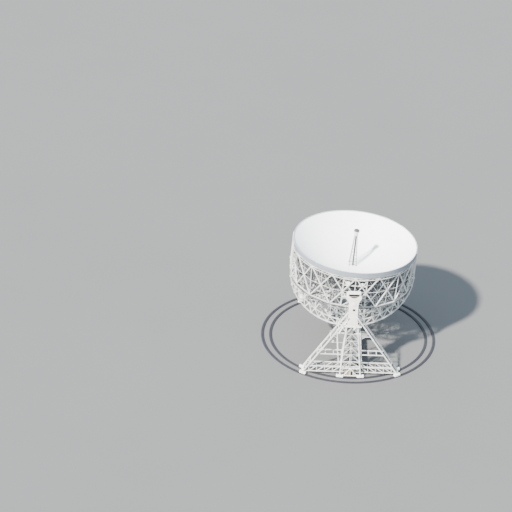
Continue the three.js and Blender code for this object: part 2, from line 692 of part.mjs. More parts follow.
// A wall with the upright ends of both wheel girders outside it
function armWall(angle) {
  const parts = wallParts(angle);
  const outward = Math.cos(angle);
  const start = WHEEL_GIRDER_BAR / 2 + GAP;
  [-1, 1].forEach((side) => {
    const y = side * WHEEL_GIRDER_PLANE;
    parts.push(bar(at(outward * ARM_X, y, start), at(outward * ARM_X, y, ARM_TOP_W), FRAME_POST, Y));
    const crossingW = WALL_LOW_W + ((WALL_TOP_W - WALL_LOW_W) * WALL_LOW_R) / (WALL_LOW_R + WALL_TOP_R);
    [crossingW, WALL_TOP_W].forEach((w) => {
      const inner = wallR(w) * Math.cos(BAY_ANGLE / 2);
      const wall = polar(inner, side * outward * (BAY_ANGLE / 2) + angle, w);
      parts.push(bar(at(outward * ARM_X, y, w), wall, WALL_LINK, Z));
    });
  });
  return joined(parts);
}

function trunnion() {
  const back = TRUNNION_BLOCK_FACE + GAP;
  const profile = [
    flat(0, back),
    flat(TRUNNION_FLANGE_R, back),
    flat(TRUNNION_FLANGE_R, back + TRUNNION_FLANGE),
    flat(TRUNNION_R, back + TRUNNION_FLANGE),
    flat(TRUNNION_R, TRUNNION_END),
    flat(0, TRUNNION_END),
  ];
  return lathe(profile, TRUNNION_SIDES);
}

function wheelNode(radius, node) {
  const angle = node * WHEEL_STEP;
  return flat(radius * Math.cos(angle), -radius * Math.sin(angle));
}

function wheelOutline() {
  const edge = WHEEL_GIRDER_BAR / 2;
  const innerEdge = WHEEL_GIRDER_INNER_R - edge;
  const webTop = WEB_W + edge;
  const meeting = Math.sqrt(innerEdge * innerEdge - webTop * webTop);
  const outline = [];
  for (let i = 0; i <= WHEEL_FACETS; i++) {
    outline.push(wheelNode(WHEEL_GIRDER_R, (i * WHEEL_PANELS) / WHEEL_FACETS));
  }
  const inner = [flat(innerEdge, edge), wheelNode(innerEdge, 1), flat(meeting, webTop)];
  const mirrored = inner.map((point) => flat(-point.x, point.y));
  const ends = [flat(WHEEL_GIRDER_R, edge), flat(-WHEEL_GIRDER_R, edge)];
  return [ends[0], ...outline, ends[1], ...mirrored, ...inner.reverse()];
}

function wheelCells() {
  const outerR = WHEEL_GIRDER_R - WHEEL_GIRDER_BAR / 2;
  const cells = [];
  for (let k = 0; k < WHEEL_PANELS; k++) {
    const split = k < WHEEL_PANELS / 2 ? splitRising : splitFalling;
    const [a, b, c, d] = [
      wheelNode(WHEEL_GIRDER_INNER_R, k),
      wheelNode(WHEEL_GIRDER_INNER_R, k + 1),
      wheelNode(outerR, k + 1),
      wheelNode(outerR, k),
    ];
    cells.push(...split(a, b, c, d));
  }
  for (let k = WEB_NODE; k < WHEEL_PANELS / 2; k += 2) {
    const [a, b, c] = [k, k + 1, k + 2].map((node) => wheelNode(WHEEL_GIRDER_INNER_R, node));
    const [topA, topC] = [flat(a.x, WEB_W), flat(c.x, WEB_W)];
    const right = k === WEB_NODE ? [[a, b, c, topC]] : [[topA, a, topC], [a, b, c, topC]];
    const left = right.map((cell) => cell.map((point) => flat(-point.x, point.y)));
    cells.push(...right, ...left);
  }
  return cells;
}

function wheelGirder(side) {
  const origin = at(0, side * WHEEL_GIRDER_PLANE, 0);
  return lattice(wheelOutline(), wheelCells(), WHEEL_GIRDER_BAR, WHEEL_GIRDER_DEPTH, origin, X, Z);
}

// A point of the frame between the wheel girders, at a node of their arcs
function wheelSpot(radius, node, y) {
  const spot = wheelNode(radius, node);
  return at(spot.x, y, spot.y);
}

// Ties between the wheel girders' chords, with braces from each tie to the next
function wheelBracing() {
  const reach = WHEEL_GIRDER_PLANE - WHEEL_GIRDER_DEPTH / 2 - GAP;
  const inside = reach - WHEEL_BRACE;
  const outerR = WHEEL_GIRDER_R - WHEEL_GIRDER_BAR / 2;
  const parts = webBracing(reach, inside);
  for (let node = 0; node <= WHEEL_PANELS; node += 2) {
    [outerR, WHEEL_GIRDER_INNER_R].forEach((radius) => {
      parts.push(bar(wheelSpot(radius, node, -reach), wheelSpot(radius, node, reach), WHEEL_TIE, Z));
    });
    if (node > 0 && node < WHEEL_PANELS) {
      parts.push(bar(wheelSpot(WHEEL_GIRDER_INNER_R, node, 0), wheelSpot(outerR, node, 0), WHEEL_TIE));
    }
  }
  for (let node = 0; node < WHEEL_PANELS; node += 2) {
    const next = node + 2;
    const y = node % 4 ? inside : -inside;
    const spots = (radius, from, to) => [wheelSpot(radius, node, from), wheelSpot(radius, next, to)];
    const beltInTheWay = node === 0 || next === WHEEL_PANELS;
    const shares = beltInTheWay ? [[-0.5, -0.5], [0.5, 0.5]] : [[1, -1]];
    const outer = shares.map(([from, to]) => spots(outerR, from * y, to * y));
    const all = [...outer, spots(WHEEL_GIRDER_INNER_R, y, -y)];
    parts.push(...all.map((ends) => bar(...ends, WHEEL_BRACE, Z)));
  }
  return joined(parts);
}

// Ties under the wheel girders' webs, braced to each other and down to the arcs' ties
function webBracing(reach, inside) {
  const parts = [];
  const w = WEB_W - WEB_TIE_DROP;
  const last = WHEEL_PANELS - 2 * WEB_NODE;
  for (let node = 2 * WEB_NODE; node <= last; node += 2) {
    const spot = (radiusNode, y) => wheelSpot(WHEEL_GIRDER_INNER_R, radiusNode, y).setZ(w);
    parts.push(bar(spot(node, -reach), spot(node, reach), WHEEL_TIE, Z));
    if (node < last) parts.push(bar(spot(node, -inside), spot(node + 2, inside), WHEEL_BRACE, Z));
    [-1, 1].forEach((side) => {
      const foot = wheelSpot(WHEEL_GIRDER_INNER_R, node, -side * inside);
      parts.push(bar(spot(node, side * inside), foot, WHEEL_BRACE, X));
    });
  }
  return parts;
}

// Height of the underside's spokes, from the wheel girders' webs up to the belt
function coneW(r) {
  return WEB_SEAT_W + (r - WEB_SEAT_R) * CONE_SLOPE;
}

// The hub in the middle of the underside, from below the spokes up to the back membrane
function hub() {
  const low = coneW(HUB_R) - UNDER_BAR;
  const top = backW(BACK_HOLE_R) - BACK_THICKNESS - GAP;
  const profile = [flat(0, low), flat(HUB_R, low), flat(HUB_R, top), flat(0, top)];
  return lathe(profile, RIBS).rotateZ(BAY_ANGLE / 2);
}

// The underside's spokes, from the hub's flat faces to the belt, and rings between them
function underframe() {
  const startR = HUB_R * Math.cos(BAY_ANGLE / 2) + (UNDER_BAR / 2) * CONE_SLOPE + GAP;
  const parts = [];
  for (let rib = 0; rib < RIBS; rib++) {
    const angle = rib * BAY_ANGLE;
    const next = angle + BAY_ANGLE;
    const beltEnd = polar(WALL_LOW_R, angle, BELT_W);
    parts.push(bar(polar(startR, angle, coneW(startR)), beltEnd, UNDER_BAR, Z));
    parts.push(bar(beltEnd, polar(WALL_LOW_R, next, BELT_W), UNDER_BAR, Z));
    UNDER_RING_RADII.forEach((r) => {
      parts.push(bar(polar(r, angle, coneW(r)), polar(r, next, coneW(r)), UNDER_BRACE, Z));
    });
  }
  return joined(parts);
}

// A ring of posts from the spokes to the back membrane, with a chord and one brace a bay
function ringTruss(radius) {
  const half = UNDER_BRACE / 2;
  const footW = coneW(radius + half) + UNDER_BAR / 2 + SLANT_GAP;
  const topW = backUnder(radius - half) - GAP;
  const chordW = backUnder(radius * Math.cos(BAY_ANGLE / 2) - half) - half - GAP;
  const end = (turn, w) => polar(radius, turn, w);
  const parts = [];
  for (let rib = 0; rib < RIBS; rib++) {
    const angle = rib * BAY_ANGLE;
    const next = angle + BAY_ANGLE;
    const [low, high] = rib % 2 ? [next, angle] : [angle, next];
    parts.push(bar(end(angle, footW), end(angle, topW), UNDER_BRACE, polar(1, angle, 0)));
    parts.push(bar(end(angle, chordW), end(next, chordW), UNDER_BRACE, Z));
    parts.push(bar(end(low, footW + half), end(high, chordW), RING_TRUSS_BRACE, Z));
  }
  return joined(parts);
}

// The membrane's underside, straight between its stations
function backUnder(r) {
  const stations = [BACK_HOLE_R, ...DISH_STATIONS];
  const after = stations.findIndex((station) => station >= r);
  const [a, b] = [stations[after - 1], stations[after]];
  return THREE.MathUtils.lerp(backW(a), backW(b), (r - a) / (b - a)) - BACK_THICKNESS;
}

function mastCorners(w) {
  const foot = dishW(MAST_SEAT_R) + GAP;
  const half = THREE.MathUtils.lerp(MAST_FOOT_HALF, MAST_TOP_HALF, (w - foot) / (MAST_TOP_W - foot));
  return [at(-half, -half, w), at(half, -half, w), at(half, half, w), at(-half, half, w)];
}

function focusMast() {
  const foot = dishW(MAST_SEAT_R) + GAP;
  const feet = mastCorners(foot - BEYOND);
  const legs = mastCorners(MAST_TOP_W + BEYOND).map((top, i) => bar(feet[i], top, MAST_LEG));
  const [low, high] = [foot + MAST_LEG, MAST_TOP_W - MAST_LEG];
  const bracing = towerBracing(mastCorners, low, high, MAST_PANELS, MAST_BRACE);
  const wide = MAST_SEAT_R;
  const beyond = block(at(-wide, -wide, MAST_TOP_W), at(wide, wide, CABIN_TOP_W));
  const below = block(at(-wide, -wide, foot - 2 * BEYOND), at(wide, wide, foot));
  return cut(joined([...legs, ...bracing]), [beyond, below]);
}

function focusCabin() {
  const profile = [
    flat(0, MAST_TOP_W + GAP),
    flat(CABIN_NECK_R, MAST_TOP_W + GAP),
    flat(CABIN_NECK_R, CABIN_NECK_TOP_W),
    flat(CABIN_R, CABIN_NECK_TOP_W),
    flat(CABIN_R, CABIN_TOP_W),
    flat(0, CABIN_TOP_W),
  ];
  return lathe(profile, CABIN_SIDES);
}

const WALL_NAMES = [
  "right_wall",
  "rear_right_wall",
  "rear_wall",
  "rear_left_wall",
  "left_wall",
  "front_left_wall",
  "front_wall",
  "front_right_wall",
];

function dishWall(i) {
  const angle = i * 2 * BAY_ANGLE;
  if (i % 4 === 0) return armWall(angle);
  if (i % 4 === 2) return trunnionWall(angle);
  return joined(wallParts(angle));
}

function dish() {
  const group = new THREE.Group();
  group.position.z = AXIS_Z;
  group.rotation.y = BOWL_TILT;
  group.add(piece("reflector", reflector(), DISH_WHITE));
  group.add(piece("back_membrane", backMembrane(), BACK_GREY));
  group.add(piece("rim_band", rimBand(), BAND_GREY));
  WALL_NAMES.forEach((name, i) => group.add(piece(name, dishWall(i), PAINT)));
  group.add(piece("hub", hub(), PAINT));
  group.add(piece("underframe", underframe(), PAINT));
  const [innerTrussR, outerTrussR] = RING_TRUSS_RADII;
  group.add(piece("ring_truss", ringTruss(innerTrussR), PAINT));
  group.add(piece("outer_ring_truss", ringTruss(outerTrussR), PAINT));
  group.add(piece("front_wheel_girder", wheelGirder(-1), PAINT));
  group.add(piece("rear_wheel_girder", wheelGirder(1), PAINT));
  group.add(piece("wheel_bracing", wheelBracing(), PAINT));
  group.add(piece("front_trunnion", trunnion().rotateX(Math.PI / 2), BAND_GREY));
  group.add(piece("rear_trunnion", trunnion().rotateX(-Math.PI / 2), BAND_GREY));
  group.add(piece("focus_mast", focusMast(), PAINT));
  group.add(piece("focus_cabin", focusCabin(), BAND_GREY));
  return group;
}

const telescope = new THREE.Group();
telescope.add(piece("outer_track", track(OUTER_TRACK_R), CONCRETE));
telescope.add(piece("inner_track", track(INNER_TRACK_R), CONCRETE));
telescope.add(piece("pivot_plinth", pivotPlinth(), CONCRETE));
telescope.add(tower({ name: "front", turn: 0, left: "left", right: "right" }));
telescope.add(tower({ name: "rear", turn: Math.PI, left: "right", right: "left" }));
telescope.add(piece("diameter_left_side", diameterSide(-1), PAINT));
telescope.add(piece("diameter_right_side", diameterSide(1), PAINT));
telescope.add(piece("diameter_floor", diameterFloor(), PAINT));
telescope.add(piece("pivot_bearing", pivotBearing(), BOGIE_PAINT));
telescope.add(piece("front_roller_frame", rollerFrame(-1), BOGIE_PAINT));
telescope.add(piece("rear_roller_frame", rollerFrame(1), BOGIE_PAINT));
telescope.add(dish());

export default telescope;
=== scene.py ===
import json
import math
from itertools import pairwise

import bpy
from mathutils import Matrix, Vector


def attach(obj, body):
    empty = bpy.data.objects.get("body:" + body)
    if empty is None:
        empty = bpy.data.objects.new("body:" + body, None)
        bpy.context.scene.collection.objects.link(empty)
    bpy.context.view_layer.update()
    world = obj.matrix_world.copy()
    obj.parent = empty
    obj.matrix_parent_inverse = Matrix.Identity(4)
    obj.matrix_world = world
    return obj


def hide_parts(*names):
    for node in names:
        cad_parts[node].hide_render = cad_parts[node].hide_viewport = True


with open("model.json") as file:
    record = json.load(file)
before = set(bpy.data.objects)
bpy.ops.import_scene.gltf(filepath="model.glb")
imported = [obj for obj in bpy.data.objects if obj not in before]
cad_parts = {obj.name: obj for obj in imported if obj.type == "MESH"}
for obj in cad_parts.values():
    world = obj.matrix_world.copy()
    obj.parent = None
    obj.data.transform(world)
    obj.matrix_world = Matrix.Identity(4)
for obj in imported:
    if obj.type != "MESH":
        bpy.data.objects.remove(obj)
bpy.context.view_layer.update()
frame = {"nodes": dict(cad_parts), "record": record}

# Lengths are metres of the full-size telescope; M turns them into the model's metres
M = 0.1
CLEARANCE = 0.003
TAU = 2 * math.pi
X = Vector((1, 0, 0))
Y = Vector((0, 1, 0))
Z = Vector((0, 0, 1))

# Camera: the photograph's view, in pixels of its 512 by 512 frame
PHOTO_SIZE = 512
PHOTO_FOCAL = 3224.1
TARGET_PIXEL = (94.445, 39.621)
VIEW_AZIMUTH = -3.084
VIEW_ELEVATION = 31.0
VIEW_ROLL = 3.437
VIEW_DISTANCE = 2009.3
VIEW_TARGET_Z = 30
SENSOR = 36
KEY_DIRECTION = (0.48, 0.54, -0.69)

# Ground
OUTER_TRACK_R = 53.75
INNER_TRACK_R = 48.7
TRACK_HALF = 0.9
TRACK_TOP = 0.4
TRACK_SEGMENTS = 64
RAIL_TOP = 0.55
RAIL_OFFSET = 0.3
RAIL_CLIPS = 480
PLINTH_R = 4.5
PLINTH_TOP = 0.8
PIVOT_R = 1.5
PIVOT_TOP = 4

# Towers: a plane is a distance out along the elevation axis; the front tower's Y is minus that
AXIS_Z = 50.5
OUTER_PLANE = 45.3
INNER_PLANE = 39.1
HOUSING_FRONT = -44.947
HOUSING_BACK = -39.453
LEG_FOOT_X = 29
LEG_FOOT_Z = 1.95
LEG_TOP_X = 2.75
LEG_TOP_Z = 41.5
RUNG_HEIGHTS = (8.5, 18, 26, 33)
TIE_Z = 14.7
TIE_NEAR_X = 6
TIE_PANELS = 3
BASE_HALF = 28.1
BASE_LOW = 2.2
BASE_TOP = 5.9
BASE_TOP_HALF = 26.2
GIRDER_POSTS = (2, 6, 10.85, 15.7, 20.55, 25.4, BASE_HALF)
GIRDER_NODES = [-x for x in reversed(GIRDER_POSTS)] + list(GIRDER_POSTS)
GIRDER_PLANES = (44.7, 39.7)
GIRDER_CHORD = 0.5
GIRDER_BRACE = 0.36
NODE_PLATE = 0.75
CENTRE_BOGIE_X = 6.3
CENTRE_BOGIE_PLANE = 48.2
SHAFT_INNER_PLANE = 40.35
SHAFT_TOP_X = 3.5
SHAFT_TOP_OUTER_PLANE = 44.4
SHAFT_FOOT_Z = 1.75
SHAFT_TOP_Z = 34.2
SHAFT_BASE_Z = 6.5
SHAFT_CORNERS = ((-1, True), (1, True), (1, False), (-1, False))
SHAFT_LEG = 0.66
SHAFT_SILL = 0.6
SHAFT_TIE = 0.22
SHAFT_LEVELS = 6
LIFT_HOUSE_Z = 21.5
STAIR_Y = -41.45
STAIR_HALF = 0.45
HUT_Z = 23.2
SKIRT_Z = 34.5
SKIRT_HALF = 5.25
SKIRT_CURVE_Z = 35.5
NECK_LOW_Z = 41.5
NECK_HIGH_Z = 49
NECK_HALF = 2.75
HEAD_CURVE_Z = 52.5
HEAD_Z = 54.3
HEAD_HALF = 4.5
SHOULDER_Z = 56.3
SHOULDER_X = 3
HEAD_DIP = 1.35
SEAM_HEIGHTS = (36, 37.8, 39.6, 41.5, 43.4, 45.2, 47, 48.8, 50.6, 52.4, 54.3, 56.2)
FRONT_WINDOWS = ((0.3, 46.8, 0.8, 0.75), (3.55, 37.3, 0.5, 0.75), (-3.7, 36.9, 0.4, 0.4))
ROOF_HALF = 3.8
ROOF_DEPTH = 3.2
ROOF_BACK = HOUSING_FRONT + ROOF_DEPTH
ROOF_LOW = 57.6
ROOF_TOP = 58.3
BOGIE_HALF = 2.2
BOGIE_LOW = 0.85
BOGIE_TOP = 1.75
WHEEL_R = 0.45
WHEEL_X = 1.3
SPREADER_TOP = 6.6

# Railings and stairs
RAILING_HEIGHT = 1.1
HANDRAIL = 0.07

# The girder across the middle, and the rollers on it
DIAMETER_X = 7.2
DIAMETER_LOW = 2.2
DIAMETER_TOP = 6.15
DIAMETER_PANELS = 10
DIAMETER_HALF = 38.8
DECK_HALF = 38.4
DECK_ROWS = ((-6.8, -2.35), (-2.25, 2.25), (2.35, 6.8))
OUTRIGGER_NEAR = 7.4
OUTRIGGER_FAR = 11.7
ROLLER_ANGLE = math.radians(6)
ROLLER_REACH = 39.06
ROLLER_FRAME_Z = 6.4

# Dish: w is the height above the elevation axis, r the distance from the dish's own axis
TILT = math.radians(3.3)
RIM_R = 37.9
RIM_W = 18.25
DISH_F = 22.9
DISH_THICKNESS = 0.12
SEAT_R = 3.4
PANEL_ROWS = (3.6, 7.5, 11.5, 15.5, 19.5, 23, 26.5, 30, 33, 35.6, 37.8)
PANEL_SECTORS = (16, 32, 32, 64, 64, 64, 64, 64, 64, 64)
PANEL_GAP = 0.09
PANEL_LIFT = 0.02
BACK_F = 19.05
BACK_VERTEX_W = -0.65
BACK_THICKNESS = 0.1
BACK_HOLE_R = 1.6
BACK_EDGE_R = 36.5
BACK_BATTEN = (0.28, 0.08)
BAND_LOW = 15.4
BAND_TOP = 18.6
BAND_R = 38.3
RIBS = 16
RIB_RADII = (3.5, 6.5, 9.5, 12.5, 15.5, 18.5, 21.5, 24.5, 27.5, 30.5, 33.5, 36.2)
RIB_DROP = 0.2
RIB_END_DEPTH = 0.9
RIB_BULGE = 1.6
FRAME_RADII = (3.2, 7.5, 13, 19, 25, 31, 36.4)
CROSS_RADII = (13, 19)
SPOKE_HALF = 0.2
WALL_TOP_R = 37.9
WALL_TOP_W = 14.5
WALL_LOW_R = 37
WALL_LOW_W = -6.5
NECK_LOW_W = 13.4
NECK_HIGH_W = 15.2
WALKWAY_W = -6.7
WHEEL_TIE_R = 38.25
WHEEL_INNER_R = 34.5
WHEEL_PLANE = 6.5
WHEEL_PANELS = 20
WHEEL_REACH = WHEEL_PLANE - 0.3
WHEEL_TIE = 0.4
WHEEL_BRACE = 0.28
WHEEL_THIN = 0.18
WEB_W = -10.66
ARM_X = 38.15
ARM_TOP_W = 18
HUB_R = 2.2
BELT_W = -7.06
SEAT_W = -10.155
SEAT_PLANE = 6.2
MAST_FOOT_HALF = 2.2
MAST_TOP_HALF = 0.8
MAST_TOP_W = 23.3
MAST_PANELS = 9
LADDER_HALF = 0.42
CABIN_NECK_R = 1.1
CABIN_NECK_TOP = 25.3
CABIN_R = 1.65
CABIN_TOP = 27.3
CAP_LOW = 26.15

# Sides of round pieces
FINE = 192
MIDDLE = 96
SMOOTH = 64
ROUND = 32

DISH_PLACE = Matrix.Translation((0, 0, AXIS_Z)) @ Matrix.Rotation(TILT, 4, "Y")
HERE = Matrix.Identity(4)
TOWERS = {"front": HERE, "rear": Matrix.Rotation(math.pi, 4, "Z")}
LEG_SIDES = {"front": ("left", "right"), "rear": ("right", "left")}
FACING_OUT = Matrix.Rotation(math.pi / 2, 4, "X")
BEARING = Matrix.Translation((0, 0, AXIS_Z)) @ FACING_OUT


# Materials
def node(tree, kind, **values):
    made = tree.nodes.new(kind)
    for name, value in values.items():
        made.inputs[name].default_value = value
    return made


def noise(tree, coordinates, scale, detail, stretch=(1, 1, 1)):
    mapping = node(tree, "ShaderNodeMapping", Scale=stretch)
    texture = node(tree, "ShaderNodeTexNoise", Scale=scale, Detail=detail, Roughness=0.6)
    tree.links.new(coordinates, mapping.inputs["Vector"])
    tree.links.new(mapping.outputs["Vector"], texture.inputs["Vector"])
    return texture.outputs["Fac"]


def ramp(tree, factor, edges, low=0.0, high=1.0):
    limits = {"From Min": edges[0], "From Max": edges[1], "To Min": low, "To Max": high}
    made = node(tree, "ShaderNodeMapRange", **limits)
    tree.links.new(factor, made.inputs["Value"])
    return made.outputs["Result"]


def mix(tree, factor, first, second):
    made = node(tree, "ShaderNodeMix")
    made.data_type = "RGBA"
    for value, socket in ((first, 6), (second, 7)):
        if isinstance(value, tuple):
            made.inputs[socket].default_value = (*value, 1)
        else:
            tree.links.new(value, made.inputs[socket])
    tree.links.new(factor, made.inputs["Factor"])
    return made.outputs[2]


def surface(name, colour, tint, grime, roughness, metallic=0.0, patch=3.0, streak=9.0, amount=0.5,
            bump=0.1, islands=0.0):
    """Patches, rain streaks and grime over a colour, and a fine bump."""
    material = bpy.data.materials.new(name)
    material.use_nodes = True
    tree = material.node_tree
    shader = tree.nodes["Principled BSDF"]
    shader.inputs["Metallic"].default_value = metallic
    coordinates = tree.nodes.new("ShaderNodeTexCoord").outputs["Object"]
    patches = ramp(tree, noise(tree, coordinates, patch, 4), (0.35, 0.7))
    streaks = noise(tree, coordinates, streak, 5, (1, 1, 0.12))
    streaks = ramp(tree, streaks, (0.5, 0.8), 0, amount)
    grain = noise(tree, coordinates, 60, 6)
    shade = mix(tree, patches, colour, tint)
    if islands:
        geometry = tree.nodes.new("ShaderNodeNewGeometry")
        each = ramp(tree, geometry.outputs["Random Per Island"], (0, 1), 0, islands)
        shade = mix(tree, each, shade, grime)
    gloss = ramp(tree, grain, (0.3, 0.7), roughness - 0.1, roughness + 0.12)
    relief = node(tree, "ShaderNodeBump", Strength=bump, Distance=0.004)
    tree.links.new(mix(tree, streaks, shade, grime), shader.inputs["Base Color"])
    tree.links.new(gloss, shader.inputs["Roughness"])
    tree.links.new(grain, relief.inputs["Height"])
    tree.links.new(relief.outputs["Normal"], shader.inputs["Normal"])
    return material


STEEL = surface("weathered_white_steel", (0.7, 0.7, 0.67), (0.6, 0.6, 0.57), (0.33, 0.3, 0.24),
                0.5, 0.1)
# Painted shade: the inner steelwork is white like the rest, coloured near black for the shade inside the
# dish and the towers
PAINTED_SHADE_STEEL = surface("painted_shade_steel", (0.1, 0.102, 0.107), (0.075, 0.077, 0.082), (0.055, 0.052, 0.048),
                 0.6, 0.1)
CLADDING = surface("cream_cladding", (0.8, 0.77, 0.7), (0.73, 0.7, 0.62), (0.45, 0.41, 0.33), 0.55,
                   amount=0.45, bump=0.15)
WHITE = surface("dish_white", (0.93, 0.92, 0.9), (0.89, 0.88, 0.87), (0.74, 0.73, 0.72), 0.5,
                patch=0.9, amount=0.1, bump=0.05, islands=0.14)
# Painted shade: the rim band is white like the dish, coloured dark blue-grey for the shade on its upright
# face; the trunnion shafts share this colour
BAND_PAINTED_SHADE = surface("band_grey", (0.25, 0.27, 0.3), (0.22, 0.24, 0.27), (0.16, 0.165, 0.17), 0.55, 0.1,
               amount=0.4)
# Painted shade: the mast's steel is coloured dark grey for steel in shade against the bright dish
MAST_PAINTED_SHADE = surface("mast_painted_shade", (0.2, 0.2, 0.2), (0.15, 0.15, 0.15), (0.11, 0.1, 0.09), 0.5, 0.2)
CAP_GREY = surface("cap_grey", (0.055, 0.057, 0.064), (0.04, 0.042, 0.048), (0.08, 0.07, 0.06),
                   0.6, 0.1, patch=12, streak=30)
# Painted shade: the membrane's underside is white-painted steel, coloured dark grey for the shade under
# the dish
BACK_PAINTED_SHADE = surface("back_grey", (0.13, 0.127, 0.13), (0.1, 0.097, 0.1), (0.07, 0.063, 0.056), 0.6, 0.1,
               amount=0.6)
BOGIE = surface("bogie_white", (0.88, 0.87, 0.82), (0.8, 0.79, 0.74), (0.34, 0.29, 0.23), 0.42,
                patch=8, streak=30, amount=0.55)
DARK = surface("dark_steel", (0.022, 0.023, 0.028), (0.035, 0.035, 0.04), (0.06, 0.045, 0.035),
               0.45, 0.5, patch=12, streak=30)
RAIL = surface("worn_rail", (0.04, 0.038, 0.042), (0.06, 0.058, 0.06), (0.05, 0.036, 0.026),
               0.45, 0.6, patch=6, streak=20)
# Partly painted shade: the track beams' dark concrete is pushed near black with a blue cast for the shade
# of the girders over them
CONCRETE = surface("dark_concrete_and_shade", (0.016, 0.016, 0.026), (0.026, 0.026, 0.038), (0.01, 0.01, 0.014),
                   0.9, patch=5, streak=2, amount=0.7, bump=0.4)
TAN = surface("tan_paint", (0.34, 0.26, 0.17), (0.28, 0.21, 0.14), (0.13, 0.09, 0.06), 0.6,
              patch=20, streak=30)
GREY_CLAD = surface("grey_cladding", (0.24, 0.25, 0.24), (0.2, 0.21, 0.2), (0.12, 0.12, 0.11), 0.6)
DECK = surface("deck_plates", (0.16, 0.17, 0.165), (0.12, 0.13, 0.125), (0.08, 0.08, 0.075), 0.65,
               patch=6, streak=8, amount=0.5, islands=0.35)

# The materials that fill each slot; the first one is also for the kept nodes of the frame
FINISHES = {
    "steel_paint": (STEEL, PAINTED_SHADE_STEEL, MAST_PAINTED_SHADE, DECK),
    "cladding": (CLADDING, GREY_CLAD),
    "dish_white": (WHITE,),
    "band_grey": (BAND_PAINTED_SHADE,),
    "back_grey": (BACK_PAINTED_SHADE,),
    "bogie_paint": (BOGIE, TAN),
    "dark_steel": (DARK, CAP_GREY, RAIL),
    "concrete": (CONCRETE,),
}
# Kept nodes inside the dish that take the near-black painted shade instead of their white steel
PAINTED_SHADE_NODES = ("ring_truss", "outer_ring_truss", "underframe")


# Points
SQUARE = ((-1, -1), (1, -1), (1, 1), (-1, 1))


def polar(r, angle, w):
    return Vector((r * math.cos(angle), r * math.sin(angle), w))


def between(a, b, share):
    return a + (b - a) * share


def line(at, start, stop):
    """The value at a place on the straight line through two (place, value) points."""
    (low, first), (high, last) = start, stop
    return between(first, last, (at - low) / (high - low))


def steps(low, high, count):
    return [between(low, high, i / count) for i in range(count + 1)]


def angles(count):
    return [TAU * i / count for i in range(count)]


def mirrored(half):
    """A closed outline from its right half, drawn from the bottom up."""
    return half + [(-x, z) for x, z in reversed(half) if x]


def ring(r, w, count, closed=False):
    """Points round the axis; a closed ring ends with its first point."""
    points = [polar(r, angle, w) for angle in angles(count)]
    return points + points[:1] if closed else points


def tube_faces(count):
    """Faces of a tube with flat ends."""
    ends = [range(count), range(2 * count - 1, count - 1, -1)]
    return ends + [(i, i + count, (i + 1) % count + count, (i + 1) % count) for i in range(count)]


